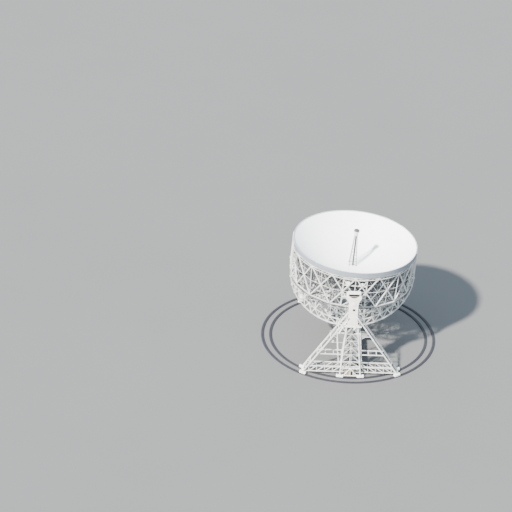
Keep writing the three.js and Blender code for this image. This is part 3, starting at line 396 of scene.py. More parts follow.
class Shape:
    """Points and faces in full-size metres, gathered until they become one mesh."""

    def __init__(self):
        self.points = []
        self.faces = []

    def add(self, points, faces, place=None):
        start = len(self.points)
        self.points += [place @ point for point in points] if place else points
        self.faces += [[start + i for i in face] for face in faces]

    def rod(self, a, b, width, depth=None, side=Z, sides=4):
        """A bar between two points; with more than four sides it is round."""
        a, b = Vector(a), Vector(b)
        along = (b - a).normalized()
        across = along.cross(side)
        if across.length < 1e-4:
            across = along.cross(X)
        across.normalize()
        away = across.cross(along)
        depth = depth or width
        corners = SQUARE
        if sides > 4:
            corners = [(math.cos(angle), math.sin(angle)) for angle in angles(sides)]
        across, away = across * width / 2, away * depth / 2
        self.add([end + across * x + away * y for end in (a, b) for x, y in corners], tube_faces(sides))

    def block(self, low, high, place=None):
        (x0, y0, z0), (x1, y1, z1) = low, high
        self.prism([(x0, z0), (x1, z0), (x1, z1), (x0, z1)], y0, y1, place)

    def box(self, x, y, half_x, half_y, low, high, place=None):
        """A block round an upright line."""
        self.block((x - half_x, y - half_y, low), (x + half_x, y + half_y, high), place)

    def lathe(self, profile, sides, place=None, start=0.0, sweep=TAU):
        """A closed outline of (r, z) points, anticlockwise, turned about Z."""
        whole = sweep == TAU
        columns = sides if whole else sides + 1
        points, index = [], []
        for r, z in profile:
            first = len(points)
            if r == 0:
                index.append([first] * columns)
                points.append(Z * z)
            else:
                index.append(range(first, first + columns))
                points += [polar(r, start + sweep * i / sides, z) for i in range(columns)]
        faces = []
        for a, b in pairwise(index + index[:1]):
            for i in range(sides):
                j = (i + 1) % columns
                corners = [a[i], a[j], b[j], b[i]]
                face = [v for n, v in enumerate(corners) if v != corners[n - 1]]
                if len(face) > 2:
                    faces.append(face)
        if not whole:
            faces.append([column[0] for column in index])
            faces.append([column[-1] for column in reversed(index)])
        self.add(points, faces, place)

    def hoop(self, inner, outer, low, high, sides, place=None):
        """A ring of rectangular section; a disc where the inner radius is 0."""
        self.lathe([(inner, low), (outer, low), (outer, high), (inner, high)], sides, place)

    def staves(self, r, low, high, count, width, depth):
        """Upright battens round a drum."""
        for angle in angles(count):
            self.rod(polar(r, angle, low), polar(r, angle, high), width, depth, polar(1, angle, 0))

    def bolts(self, r, w, count, height, width, place=HERE):
        for spot in ring(r, w, count):
            self.rod(place @ spot, place @ (spot + Z * height), width, sides=6, side=X)

    def gusset(self, spot, size, half, normal=Y):
        """A round plate where bars meet."""
        spot = Vector(spot)
        self.rod(spot - normal * half, spot + normal * half, size, sides=8)

    def path(self, points, width, depth=None, side=Z, closed=False, sides=4):
        for a, b in pairwise(points + points[:1] if closed else points):
            self.rod(a, b, width, depth, side, sides)

    def web(self, low, high, post, brace, crossed=False):
        """Posts and braces between two rows of points."""
        for a, b in zip(low, high):
            self.rod(a, b, post)
        for i in range(len(low) - 1):
            if i % 2 == 0 or crossed:
                self.rod(low[i], high[i + 1], brace)
            if i % 2 == 1 or crossed:
                self.rod(high[i], low[i + 1], brace)

    def prism(self, outline, low, high, place=None):
        """An outline in X and Z, anticlockwise seen from -Y, between two Y planes."""
        points = [Vector((x, y, z)) for y in (low, high) for x, z in outline]
        self.add(points, tube_faces(len(outline)), place)

    def railing(self, points, bar=HANDRAIL, closed=False):
        points = [Vector(p) for p in points]
        tops = [p + Z * RAILING_HEIGHT for p in points]
        for p, top in zip(points, tops):
            self.rod(p, top, bar)
        self.path(tops, bar, closed=closed)
        self.path([p + Z * RAILING_HEIGHT / 2 for p in points], bar, closed=closed)


# Pieces
def linked(name, data):
    made = bpy.data.objects.new(name, data)
    bpy.context.scene.collection.objects.link(made)
    return made


def linked_mesh(name, points, faces, material):
    mesh = bpy.data.meshes.new(name)
    mesh.from_pydata(points, [], faces)
    mesh.materials.append(material)
    return linked(name, mesh)


def build(shape, name, body, material, place=HERE, replaced=None, bevel=0.0):
    piece = linked_mesh(name, [p * M for p in shape.points], shape.faces, material)
    piece.data.polygons.foreach_set("use_smooth", [True] * len(shape.faces))
    piece.data.set_sharp_from_angle(angle=math.radians(28))
    scaled = place.copy()
    scaled.translation *= M
    piece.matrix_world = scaled
    if bevel:
        edge = piece.modifiers.new("soft_edges", "BEVEL")
        edge.width = bevel * M
        edge.segments = 2
        edge.limit_method = "ANGLE"
    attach(piece, body)
    if replaced:
        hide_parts(replaced)


def dish_piece(shape, name, material, replaced=None, bevel=0.0):
    build(shape, name, "dish", material, DISH_PLACE, replaced, bevel)


def tower_piece(shape, end, name, material, replaced=None, bevel=0.0):
    """A tower's piece; its name and the replaced node's start with the tower's."""
    replaced = replaced and f"{end}_{replaced}"
    build(shape, f"{end}_{name}", "turntable", material, TOWERS[end], replaced, bevel)


# Heights of the dish's surfaces
def dish_w(r):
    return RIM_W - (RIM_R * RIM_R - r * r) / (4 * DISH_F)


def back_w(r):
    return BACK_VERTEX_W + r * r / (4 * BACK_F)


def cone_w(r):
    return line(r, (SEAT_PLANE, SEAT_W), (WALL_LOW_R, BELT_W))


def rib_top(r):
    return back_w(r) - BACK_THICKNESS - RIB_DROP


def rib_low(r):
    bulge = math.sin(line(r, (RIB_RADII[0], 0), (RIB_RADII[-1], math.pi)))
    return rib_top(r) - RIB_END_DEPTH - RIB_BULGE * bulge


# Reflector
def reflector():
    """Rows of plates over a thin skin, and the lip over the rim band."""
    stations = [PANEL_ROWS[0]]
    for low, high in pairwise(PANEL_ROWS):
        stations += [(low + high) / 2, high]
    seat = dish_w(SEAT_R)
    top = [(0, seat), (SEAT_R, seat)] + [(r, dish_w(r)) for r in stations + [RIM_R]]
    skin = Shape()
    skin.lathe([(r, w - DISH_THICKNESS) for r, w in top] + top[::-1], FINE)
    for low, high, sectors in zip(PANEL_ROWS, PANEL_ROWS[1:], PANEL_SECTORS):
        radii = steps(low + PANEL_GAP / 2, high - PANEL_GAP / 2, 2)
        half_gap = PANEL_GAP / (low + high)
        outline = [(r, dish_w(r) - PANEL_LIFT) for r in radii]
        outline += [(r, dish_w(r) + PANEL_LIFT) for r in radii[::-1]]
        for start in angles(sectors):
            skin.lathe(outline, FINE // sectors, None, start + half_gap, TAU / sectors - 2 * half_gap)
    inner, outer = RIM_R - 0.02, BAND_R + 0.05
    skin.lathe([(inner, RIM_W - 0.1), (outer, BAND_TOP - 0.05), (outer, BAND_TOP + 0.06),
                (inner, RIM_W + 0.12)], FINE)
    dish_piece(skin, "dish_surface", WHITE, "reflector")


def rim_band():
    band = Shape()
    band.hoop(RIM_R + CLEARANCE, BAND_R, BAND_LOW, BAND_TOP, FINE)
    for w in (BAND_LOW + 0.02, BAND_LOW + 1.6, BAND_TOP - 0.14):
        band.hoop(BAND_R - 0.1, BAND_R + 0.1, w, w + 0.12, FINE)
    band.staves(BAND_R + 0.02, BAND_LOW, BAND_TOP, MIDDLE, 0.1, 0.12)
    # The band takes the dark blue-grey painted shade
    dish_piece(band, "rim_band_plates", BAND_PAINTED_SHADE, "rim_band")


def back_membrane():
    radii = steps(BACK_HOLE_R, BACK_EDGE_R, 18)
    under = [(r, back_w(r) - BACK_THICKNESS) for r in radii]
    lip = (BACK_EDGE_R, dish_w(BACK_EDGE_R) - DISH_THICKNESS - CLEARANCE)
    back = Shape()
    back.lathe(under + [lip] + [(r, back_w(r)) for r in radii[-2::-1]], MIDDLE)
    for angle in angles(3 * RIBS):
        back.path([polar(r, angle, w) for r, w in under[2:]], *BACK_BATTEN)
    for r, w in under[1::2]:
        back.path(ring(r, w, MIDDLE, closed=True), *BACK_BATTEN)
    # The membrane's underside takes the dark grey painted shade
    dish_piece(back, "back_plates", BACK_PAINTED_SHADE, "back_membrane")


# Steelwork behind the reflector
def ribs():
    """Lattice ribs under the membrane, with rings between them."""
    made = Shape()
    count = 2 * RIBS
    for i, angle in enumerate(angles(count)):
        top = [polar(r, angle, rib_top(r)) for r in RIB_RADII]
        low = [polar(r, angle, rib_low(r)) for r in RIB_RADII]
        for chord in (top, low):
            made.path(chord, 0.22 if i % 2 else 0.3)
        made.web(low, top, 0.16, 0.16)
    for n, r in enumerate(RIB_RADII):
        top = ring(r, rib_top(r), count, closed=True)
        made.path(top, 0.18)
        if n % 2:
            low = ring(r, rib_low(r), count, closed=True)
            made.path(low, 0.2)
            made.web(low, top, 0.14, 0.14)
    # The ribs are white steel, coloured near black as painted shade under the membrane
    dish_piece(made, "dish_ribs", PAINTED_SHADE_STEEL)


def radial_frames():
    """Two storeys of lattice between the underside's spokes and the ribs."""
    made = Shape()
    for angle in angles(RIBS):
        low = [polar(r, angle, cone_w(r) + SPOKE_HALF) for r in FRAME_RADII]
        top = [polar(r, angle, rib_low(max(r, RIB_RADII[0]))) for r in FRAME_RADII]
        middle = [between(a, b, 0.5) for a, b in zip(low, top)]
        made.path(middle, 0.2)
        for row in (low, top):
            made.web(row, middle, 0.26, 0.2)
    for r in CROSS_RADII:
        low = ring(r, cone_w(r) + SPOKE_HALF, RIBS, closed=True)
        top = ring(r, rib_low(r), RIBS, closed=True)
        middle = [between(a, b, 0.5) for a, b in zip(low, top)]
        for below, row in ((low, middle), (middle, top)):
            made.path(row, 0.18)
            made.web(below, row, 0.2, 0.18)
    # The frames are white steel, coloured near black as painted shade inside the dish
    dish_piece(made, "dish_frames", PAINTED_SHADE_STEEL)


def wall_point(angle, w, inward=0.0):
    r = line(w, (WALL_LOW_W, WALL_LOW_R), (WALL_TOP_W, WALL_TOP_R))
    return polar(r - inward, angle, w)


def bay_grid(bay, columns, rows, inward=0.0):
    """Points over one flat bay of the dish's side, row by row."""
    start, end = TAU * bay / RIBS, TAU * (bay + 1) / RIBS
    heights = steps(WALL_LOW_W, WALL_TOP_W, rows)
    return [steps(wall_point(start, w, inward), wall_point(end, w, inward), columns) for w in heights]


def wall_bracing():
    """Thin bars in the plane of the walls, and a second wall inside them."""
    made, behind = Shape(), Shape()
    for bay in range(RIBS):
        outer = bay_grid(bay, 4, 4)
        inner = bay_grid(bay, 2, 4, 1.7)
        made.path(outer[2], 0.2)
        made.rod(outer[0][2], outer[4][2], 0.16)
        for n, row in ((1, 0), (3, 4)):
            made.rod(outer[row][2], outer[2][0 if bay % 2 else 4], 0.14)
            made.rod(outer[n][1], outer[n][3], 0.14)
        for row in inner:
            behind.path(row, 0.2)
        for near, far in zip(outer[::2], inner[::2]):
            for a, b in zip(near[::2], far):
                behind.rod(a, b, 0.16)
        for low, high in pairwise(inner):
            behind.web(low, high, 0.2, 0.16)
    dish_piece(made, "wall_bracing", STEEL)
    # The second wall is white steel, coloured near black as painted shade behind the outer one
    dish_piece(behind, "inner_wall", PAINTED_SHADE_STEEL)


def neck_ring():
    made = Shape()
    made.hoop(37.75, 38.05, NECK_LOW_W - 0.2, NECK_LOW_W + 0.1, MIDDLE)
    made.hoop(37.6, 37.95, NECK_HIGH_W - 0.1, NECK_HIGH_W + 0.15, MIDDLE)
    low = ring(37.9, NECK_LOW_W, MIDDLE)
    high = ring(37.8, NECK_HIGH_W, MIDDLE, closed=True)
    for foot, above, beside in zip(low, high, high[1:]):
        made.rod(foot, above, 0.12)
        made.rod(foot, beside, 0.09)
    dish_piece(made, "rim_ring", STEEL)


def belt_walkway():
    made = Shape()
    made.hoop(37.35, 37.95, WALKWAY_W - 0.08, WALKWAY_W, MIDDLE)
    made.railing(ring(37.9, WALKWAY_W, SMOOTH), 0.05, closed=True)
    # The walkway is white steel, coloured near black as painted shade under the belt
    dish_piece(made, "belt_walkway", PAINTED_SHADE_STEEL)


# Trunnions
def trunnion_frame(end):
    """Beams, ties and two machine boxes round a trunnion, drawn for the front one."""
    made, boxes = Shape(), Shape()
    front, back, face = -36.2, -32.4, -36.6
    reach, beam, high = 7.2, 12.2, 13.4
    for w in (beam, high):
        for y, width in ((front, 0.5), (back, 0.4)):
            made.rod((-reach - 0.2, y, w), (reach + 0.2, y, w), width)
    levels = steps(WALL_LOW_W, high, 5)
    for x in (-reach, reach):
        made.rod((x, back, -6.8), (x, back, high), 0.5)
        for w in levels:
            made.rod((x, front, w), (x, back, w), 0.35)
        for w, above in pairwise(levels):
            made.rod((x, front, w), (x, back, above), 0.25)
        made.rod((x, front, beam), (0, face, 1.2), 0.45)
        made.rod((x, front, -6.6), (0, face, -1.2), 0.45)
        made.rod((x, back, 0), (0, face, 0), 0.6)
    for x in steps(-reach, reach, 6):
        made.rod((x, front, beam), (x, front, high), 0.2)
        made.rod((x, front, high), (x, back, high), 0.25)
    for x, w in ((-4.4, 8.6), (3.7, 8.2)):
        boxes.box(x, front + 0.7, 1.3, 0.9, w, w + 1.9)
        made.rod((-reach, front, w - 0.15), (reach, front, w - 0.15), 0.3)
    for shape in (made, boxes):
        shape.points = [TOWERS[end] @ p for p in shape.points]
    dish_piece(made, end + "_trunnion_frame", STEEL)
    dish_piece(boxes, end + "_trunnion_boxes", CLADDING, bevel=0.12)


def trunnion(end):
    place = FACING_OUT if end == "front" else FACING_OUT.inverted()
    low, high, r = 38.203, 41.5, 0.8
    made = Shape()
    made.lathe([(0, low), (1.3, low), (1.3, low + 0.15), (1.0, low + 0.157), (r, 38.6), (r, high - 0.05),
                (r - 0.05, high), (0, high)], SMOOTH, place)
    made.bolts(1.12, low + 0.137, 16, 0.12, 0.14, place)
    # The shaft takes the rim band's dark painted-shade grey
    dish_piece(made, end + "_trunnion_shaft", BAND_PAINTED_SHADE, end + "_trunnion")


# Wheel girders
def wheel_point(radius, panel, y):
    angle = math.pi * panel / WHEEL_PANELS
    return Vector((radius * math.cos(angle), y, -radius * math.sin(angle)))


def wheel_rims():
    made = Shape()
    for y in (-WHEEL_PLANE, WHEEL_PLANE):
        for radius, wide, count in ((38.4, 1.15, 120), (WHEEL_INNER_R, 1.0, 80)):
            arc = [wheel_point(radius, n, y) for n in steps(0, WHEEL_PANELS, count)]
            made.path(arc, 0.2, wide, Y)
        for n in range(WHEEL_PANELS + 1):
            for radius, size in ((38.1, 1.5), (WHEEL_INNER_R, 1.7)):
                made.gusset(wheel_point(radius, n, y), size, 0.33)
    dish_piece(made, "wheel_rims", STEEL)


def wheel_cross_bracing():
    """Ties and braces between the wheel girders, heavier at every second node."""
    made = Shape()
    reach, inside, last = WHEEL_REACH, WHEEL_REACH - 0.28, WHEEL_PANELS

    def bar(start, stop, width):
        """A bar between two (radius, panel, y) places on the wheels."""
        made.rod(wheel_point(*start), wheel_point(*stop), width)

    for n in range(last + 1):
        tie = 0.24 if n % 2 else WHEEL_TIE
        for radius in (WHEEL_TIE_R, WHEEL_INNER_R):
            bar((radius, n, -reach), (radius, n, reach), tie)
        if 0 < n < last:
            bar((WHEEL_INNER_R, n, 0), (WHEEL_TIE_R, n, 0), tie)
        for y in (-reach, reach):
            bar((WHEEL_INNER_R, n, y), (WHEEL_TIE_R, n, 0), WHEEL_THIN)
    for n in range(0, last, 2):
        y = inside if n % 4 else -inside
        bar((WHEEL_INNER_R, n, y), (WHEEL_INNER_R, n + 2, -y), WHEEL_BRACE)
        bar((WHEEL_INNER_R, n, -y), (WHEEL_INNER_R, n + 2, y), WHEEL_THIN)
        shares = ((1, -1),) if 0 < n < last - 2 else ((-0.5, -0.5), (0.5, 0.5))
        for start, stop in shares:
            bar((WHEEL_TIE_R, n, start * y), (WHEEL_TIE_R, n + 2, stop * y), WHEEL_BRACE)
    web_bracing(made, reach, inside)
    dish_piece(made, "wheel_cross_bracing", STEEL, "wheel_bracing")


def web_bracing(made, reach, inside):
    """Ties under the wheel girders' webs, braced to each other and to the arcs."""
    top = WEB_W - 1
    feet = [wheel_point(WHEEL_INNER_R, n, 0) for n in range(4, WHEEL_PANELS - 3, 2)]
    for foot in feet:
        made.rod((foot.x, -reach, top), (foot.x, reach, top), WHEEL_TIE)
        for z in steps(top, foot.z, 4)[1:-1]:
            made.rod((foot.x, -reach, z), (foot.x, reach, z), 0.2)
        for y in (-inside, inside):
            made.rod((foot.x, y, top), (foot.x, -y, foot.z), WHEEL_BRACE, side=X)
    for near, far in pairwise(feet):
        made.rod((near.x, -inside, top), (far.x, inside, top), WHEEL_BRACE)
        made.rod((near.x, inside, top), (far.x, -inside, top), WHEEL_THIN)


def arm_bracing():
    made = Shape()
    reach = WHEEL_PLANE - 0.2
    levels = steps(0.6, ARM_TOP_W - 0.3, 5)
    for x, inner_x in ((-ARM_X, -36.6), (ARM_X, 36.6)):
        rows = [[(x, y, w) for w in levels] for y in (-reach, reach)]
        made.web(*rows, 0.3, 0.2, crossed=True)
        for y in (-WHEEL_PLANE, WHEEL_PLANE):
            for low, high in pairwise(levels):
                made.path([(x, y, low), (inner_x, y, (low + high) / 2), (x, y, high)], WHEEL_THIN)
    dish_piece(made, "arm_bracing", STEEL)


def under_hub():
    made = Shape()
    low = cone_w(HUB_R) - 0.5
    top = back_w(2) - 0.5
    for w in steps(low + 0.2, top, 4):
        made.hoop(2.1, 2.5, w - 0.12, w + 0.12, ROUND)
    for foot, head in zip(ring(2.25, low + 0.2, 24), ring(2.25, top, 24)):
        made.rod(foot, head, 0.14)
    made.lathe([(0, low - 0.3), (1.6, low - 0.3), (1.9, low), (0, low)], ROUND)
    dish_piece(made, "hub_bands", STEEL)


# Focus mast and cabin
def mast_row(w, foot):
    """The mast's four corners at height w."""
    half = line(w, (foot, MAST_FOOT_HALF), (MAST_TOP_W, MAST_TOP_HALF))
    return [Vector((x * half, y * half, w)) for x, y in SQUARE]


def mast():
    made = Shape()
    foot = dish_w(SEAT_R) + CLEARANCE
    rows = [mast_row(w, foot) for w in steps(foot + 0.25, MAST_TOP_W - 0.05, MAST_PANELS)]
    shoe = [(0, -0.25), (0.5, -0.25), (0.5, -0.1), (0.3, 0), (0, 0)]
    for corner in range(4):
        made.path([row[corner] for row in rows], 0.26, sides=10)
        made.lathe(shoe, 16, Matrix.Translation(rows[0][corner]))
    for row, above in pairwise(rows):
        made.path(row, 0.12, closed=True, sides=6)
        for corner in range(4):
            beside = (corner + 1) % 4
            made.rod(row[corner], above[beside], 0.08, sides=6)
            made.rod(row[beside], above[corner], 0.08, sides=6)
    made.path(rows[-1], 0.2, closed=True, sides=6)
    made.hoop(0, 1.25, MAST_TOP_W - 0.3, MAST_TOP_W - 0.12, ROUND)
    # Dark grey painted shade on the mast's steel
    dish_piece(made, "mast_lattice", MAST_PAINTED_SHADE, "focus_mast")


def mast_ladder():
    """The cable duct with a ladder over it."""
    ladder = Shape()
    low = Vector((0, -MAST_FOOT_HALF, dish_w(SEAT_R) + CLEARANCE))
    high = Vector((0, -MAST_TOP_HALF, MAST_TOP_W))
    ladder.rod(low, high, 0.75, sides=10)
    for x in (-LADDER_HALF, LADDER_HALF):
        ladder.rod(low + X * x, high + X * x, 0.08)
    for spot in steps(low, high, 56)[1:]:
        ladder.rod(spot - X * LADDER_HALF, spot + X * LADDER_HALF, 0.05)
    dish_piece(ladder, "mast_ladder", DARK)


def cabin():
    """The pale drum on the mast and the dark cap over it."""
    neck, cap = Shape(), Shape()
    low, top = MAST_TOP_W - 0.1, CABIN_NECK_TOP
    neck.hoop(0, CABIN_NECK_R, low, top, ROUND)
    for w in (low + 0.1, low + 1, top - 0.15):
        neck.hoop(1.0, 1.22, w, w + 0.1, ROUND)
    neck.hoop(0.9, 1.6, top, CAP_LOW, ROUND)
    neck.hoop(1.55, 1.7, CAP_LOW - 0.1, CAP_LOW, ROUND)
    neck.staves(1.08, low, top, 12, 0.08, 0.1)
    dish_piece(neck, "cabin_drum", STEEL)
    side, shoulder, top = CABIN_R + 0.05, CABIN_TOP - 0.8, CABIN_TOP
    cap.lathe([(0, CAP_LOW), (CABIN_R, CAP_LOW), (side, CAP_LOW + 0.1), (side, shoulder),
               (1.5, top - 0.45), (1.1, top - 0.2), (0.6, top - 0.05), (0, top)], ROUND)
    cap.staves(side, CAP_LOW + 0.05, shoulder, 16, 0.06, 0.12)
    dish_piece(cap, "cabin_cap", CAP_GREY, "focus_cabin")


# Lattices of a tower, drawn for the front one
def leg_point(side, plane, z):
    x = line(z, (LEG_FOOT_Z, LEG_FOOT_X), (LEG_TOP_Z, LEG_TOP_X))
    return Vector((side * x, -plane, z))


def leg_bracing(made):
    """Gusset plates and one brace at each rung between a leg's two rails."""
    for side in (-1, 1):
        for z in RUNG_HEIGHTS:
            outer, inner = leg_point(side, OUTER_PLANE, z), leg_point(side, INNER_PLANE, z)
            made.rod(outer, leg_point(side, INNER_PLANE, z - 4.5), 0.2)
            for spot in (outer, inner):
                made.gusset(spot, 1.1, 0.4)


def leg_stairs(made):
    """Stairs up the outer rail of the right leg."""
    low, high = leg_point(1, OUTER_PLANE, LEG_FOOT_Z + 1), leg_point(1, OUTER_PLANE, RUNG_HEIGHTS[-1])
    near, far, up = Vector((0, 0.5, 0.5)), Vector((0, 1.2, 0.5)), Z * RAILING_HEIGHT
    for offset in (near, far):
        start, stop = [p + offset - Z * 0.05 for p in (low, high)]
        made.rod(start, stop, 0.08, 0.25)
        made.rod(start + up, stop + up, HANDRAIL)
        for spot in steps(start, stop, 24):
            made.rod(spot, spot + up, 0.06)
    for spot in steps(low, high, 110):
        made.rod(spot + near, spot + far, 0.05, 0.22)


def tie_details(made):
    """Gusset plates on the ties between the legs and the shaft."""
    for side in (-1, 1):
        far = leg_point(side, 0, TIE_Z).x
        for plane in GIRDER_PLANES:
            for x in steps(side * TIE_NEAR_X, far, TIE_PANELS)[:-1]:
                made.gusset((x, -plane, TIE_Z), NODE_PLATE, 0.28, Z)


def girder_faces(made):
    """Upright trusses of a base girder: the ends follow the legs, the braces lean in to the middle."""
    for plane in GIRDER_PLANES:
        low = [(x, -plane, BASE_LOW) for x in GIRDER_NODES]
        top = [(max(-BASE_TOP_HALF, min(BASE_TOP_HALF, x)), -plane, BASE_TOP) for x in GIRDER_NODES]
        for chord in (low, top):
            made.path(chord, GIRDER_CHORD)
        for a, b in zip(low, top):
            made.rod(a, b, GIRDER_BRACE)
        for a, b in pairwise(range(len(low))):
            if GIRDER_NODES[a] < 0:
                made.rod(low[a], top[b], GIRDER_BRACE)
            if GIRDER_NODES[b] > 0:
                made.rod(top[a], low[b], GIRDER_BRACE)
        for spot in low + top:
            made.gusset(spot, NODE_PLATE, 0.3)


def girder_ties(made):
    """Ties from one face of a base girder to the other, crossed at every third post."""
    outer, inner = GIRDER_PLANES

    def bar(x, low, high, width):
        made.rod((x, -outer, low), (x, -inner, high), width)

    for n, x in enumerate(GIRDER_NODES[1:-1]):
        for z in (BASE_LOW, BASE_TOP):
            bar(x, z, z, 0.24)
        if n % 3 == 0:
            bar(x, BASE_LOW, BASE_TOP, 0.2)
            bar(x, BASE_TOP, BASE_LOW, 0.2)
    for x, z in ((BASE_HALF, BASE_LOW), (BASE_TOP_HALF, BASE_TOP)):
        for side in (-1, 1):
            bar(side * x, z, z, GIRDER_CHORD)


def shaft_corner(side, outer, z):
    x = line(z, (SHAFT_FOOT_Z, CENTRE_BOGIE_X), (SHAFT_TOP_Z, SHAFT_TOP_X))
    y = line(z, (SHAFT_FOOT_Z, -CENTRE_BOGIE_PLANE), (SHAFT_TOP_Z, -SHAFT_TOP_OUTER_PLANE))
    return Vector((side * x, y if outer else -SHAFT_INNER_PLANE, z))


def shaft_frame(made):
    """The shaft's legs, its sill and a ring of ties at each level."""
    for side, outer in SHAFT_CORNERS:
        foot = SHAFT_FOOT_Z if outer else SHAFT_BASE_Z
        made.rod(shaft_corner(side, outer, foot), shaft_corner(side, outer, SKIRT_Z + 0.02), SHAFT_LEG)
    for z in steps(SHAFT_BASE_Z, SHAFT_TOP_Z, SHAFT_LEVELS):
        corners = [shaft_corner(side, outer, z) for side, outer in SHAFT_CORNERS]
        made.path(corners, SHAFT_SILL if z == SHAFT_BASE_Z else SHAFT_TIE, closed=True)


def shaft_bracing(made):
    """Inverted V braces on two faces, crossed braces on the sides, and gussets."""
    levels = steps(SHAFT_BASE_Z, SHAFT_TOP_Z, SHAFT_LEVELS)
    for low, high in pairwise(levels):
        for outer in (True, False):
            apex = between(shaft_corner(-1, outer, high), shaft_corner(1, outer, high), 0.5)
            for side in (-1, 1):
                foot = shaft_corner(side, outer, low)
                made.rod(foot, apex, SHAFT_TIE)
                made.rod(foot, shaft_corner(side, not outer, high), 0.18)
    for z in levels[1:]:
        for side, outer in SHAFT_CORNERS:
            made.gusset(shaft_corner(side, outer, z), 0.8, 0.35)


def lift_mast(made):
    x, y, far_y = 0.55, -43.6, -42.5
    corners = ((-x, y), (x, y), (x, far_y), (-x, far_y))
    for corner in corners:
        made.rod((*corner, SHAFT_BASE_Z), (*corner, LIFT_HOUSE_Z), 0.16)
    for n, (low, high) in enumerate(pairwise(steps(SHAFT_BASE_Z, LIFT_HOUSE_Z, 12))):
        made.path([(*corner, low) for corner in corners], 0.1, closed=True)
        start = x if n % 2 else -x
        for side in (y, far_y):
            made.rod((start, side, low), (-start, side, high), 0.1)


def shaft_stairs(made):
    for n, (low, high) in enumerate(pairwise(steps(SHAFT_BASE_Z + 0.2, SHAFT_TOP_Z - 0.2, 10))):
        x = 1.9 if n % 2 else -1.9
        for y in (STAIR_Y - STAIR_HALF, STAIR_Y + STAIR_HALF):
            start, stop = Vector((-x, y, low)), Vector((x, y, high))
            made.rod(start, stop, 0.06, 0.28)
            made.rod(start + Z, stop + Z, HANDRAIL)
            for spot in steps(start, stop, 5):
                made.rod(spot, spot + Z, 0.06)
        for tread, z in zip(steps(-x, x, 14), steps(low, high, 14)):
            made.box(tread, STAIR_Y, 0.13, STAIR_HALF, z - 0.02, z + 0.02)
        made.box(x + 0.2, STAIR_Y, 0.6, STAIR_HALF, high - 0.06, high)


def lift_house(made):
    x, y, half_x, half_y = -1.35, -42.85, 1.65, 0.65
    made.box(x, y, half_x, half_y, LIFT_HOUSE_Z, SHAFT_TOP_Z)
    for z in steps(LIFT_HOUSE_Z, SHAFT_TOP_Z - 0.2, 6):
        made.box(x, y, half_x + 0.06, half_y + 0.06, z, z + 0.12)
    front = y - half_y - 0.02
    for seam in steps(x - half_x + 0.1, x + half_x - 0.1, 4):
        made.rod((seam, front, LIFT_HOUSE_Z), (seam, front, SHAFT_TOP_Z), 0.1)


def side_platforms(made):
    """A gallery on the shaft's right side, and a hut on a walkway out to the left leg."""
    gallery_y, hut_y = -43.5, -44.6
    made.box(6.95, gallery_y, 2.85, 0.3, 26.9, 27.1)
    made.rod((9.4, gallery_y, 27), leg_point(1, -gallery_y, 27), 0.24)
    made.rod((4.0, gallery_y, 24.2), (8.6, gallery_y, 26.9), 0.2)
    made.rod((-4.9, hut_y, HUT_Z), leg_point(-1, -hut_y, HUT_Z), 0.16)
    made.box(-11.5, hut_y, 0.5, 0.5, HUT_Z, HUT_Z + 1.1)
    made.box(-11.5, hut_y, 0.65, 0.65, HUT_Z + 1.1, HUT_Z + 1.22)


def tower_lattices(end):
    """Each piece with its material, the node it replaces and the functions that draw it."""
    # The girder ties and the stairs are white steel, coloured near black as painted shade
    pieces = (
        ("leg_details", STEEL, None, (leg_bracing, tie_details)),
        ("girder_faces", STEEL, "base_girder", (girder_faces,)),
        ("girder_ties", PAINTED_SHADE_STEEL, None, (girder_ties,)),
        ("side_platforms", STEEL, None, (side_platforms,)),
        ("shaft_lattice", STEEL, "shaft", (shaft_frame, shaft_bracing, lift_mast)),
        ("lift_house", GREY_CLAD, None, (lift_house,)),
        ("shaft_stairs", PAINTED_SHADE_STEEL, None, (shaft_stairs,)),
        ("leg_stairs", PAINTED_SHADE_STEEL, None, (leg_stairs,)),
    )
    for name, material, replaced, drawings in pieces:
        made = Shape()
        for draw in drawings:
            draw(made)
        tower_piece(made, end, name, material, replaced)


# Housing and roof
def curve(a, control, b, count=10):
    """Points after a, up to b, on a curve that bends toward the control point."""
    points = []
    for t in steps(0, 1, count)[1:]:
        rest = 1 - t
        points.append([rest ** 2 * p + 2 * t * rest * c + t * t * q for p, c, q in zip(a, control, b)])
    return points


def housing_outline():
    half = [(SKIRT_HALF, SKIRT_Z)]
    half += curve(half[-1], (NECK_HALF, SKIRT_CURVE_Z), (NECK_HALF, NECK_LOW_Z))
    half.append((NECK_HALF, NECK_HIGH_Z))
    half += curve(half[-1], (NECK_HALF, HEAD_CURVE_Z), (HEAD_HALF, HEAD_Z))
    half += [(HEAD_HALF, SHOULDER_Z), (SHOULDER_X, SHOULDER_Z)]
    half += curve(half[-1], (SHOULDER_X / 2, SHOULDER_Z - HEAD_DIP), (0, SHOULDER_Z - HEAD_DIP), 6)
    return mirrored(half)


def half_width(z):
    """Half the width of the housing at height z."""
    right_side = [(height, x) for x, height in housing_outline() if x >= 0]
    for low, high in pairwise(right_side):
        if low[0] <= z <= high[0] and high[0] > low[0]:
            return line(z, low, high)
    return HEAD_HALF


def housing_seams(trim):
    """Thin bands round the walls, upright seams on both faces and the edge of the skirt."""
    middle, half_y = (HOUSING_FRONT + HOUSING_BACK) / 2, (HOUSING_BACK - HOUSING_FRONT) / 2
    for z in SEAM_HEIGHTS:
        trim.box(0, middle, half_width(z) + 0.05, half_y + 0.05, z - 0.04, z + 0.04)
    for y in (HOUSING_FRONT, HOUSING_BACK):
        for x in steps(-4.2, 4.2, 6):
            narrow = abs(x) < NECK_HALF
            for low, high in ((SKIRT_Z, 54.6),) if narrow else ((SKIRT_Z, 36.2), (54.0, SHOULDER_Z)):
                trim.rod((x, y, low), (x, y, high), 0.08, 0.1)
    trim.box(0, middle, SKIRT_HALF + 0.25, half_y + 0.25, SKIRT_Z, SKIRT_Z + 0.25)


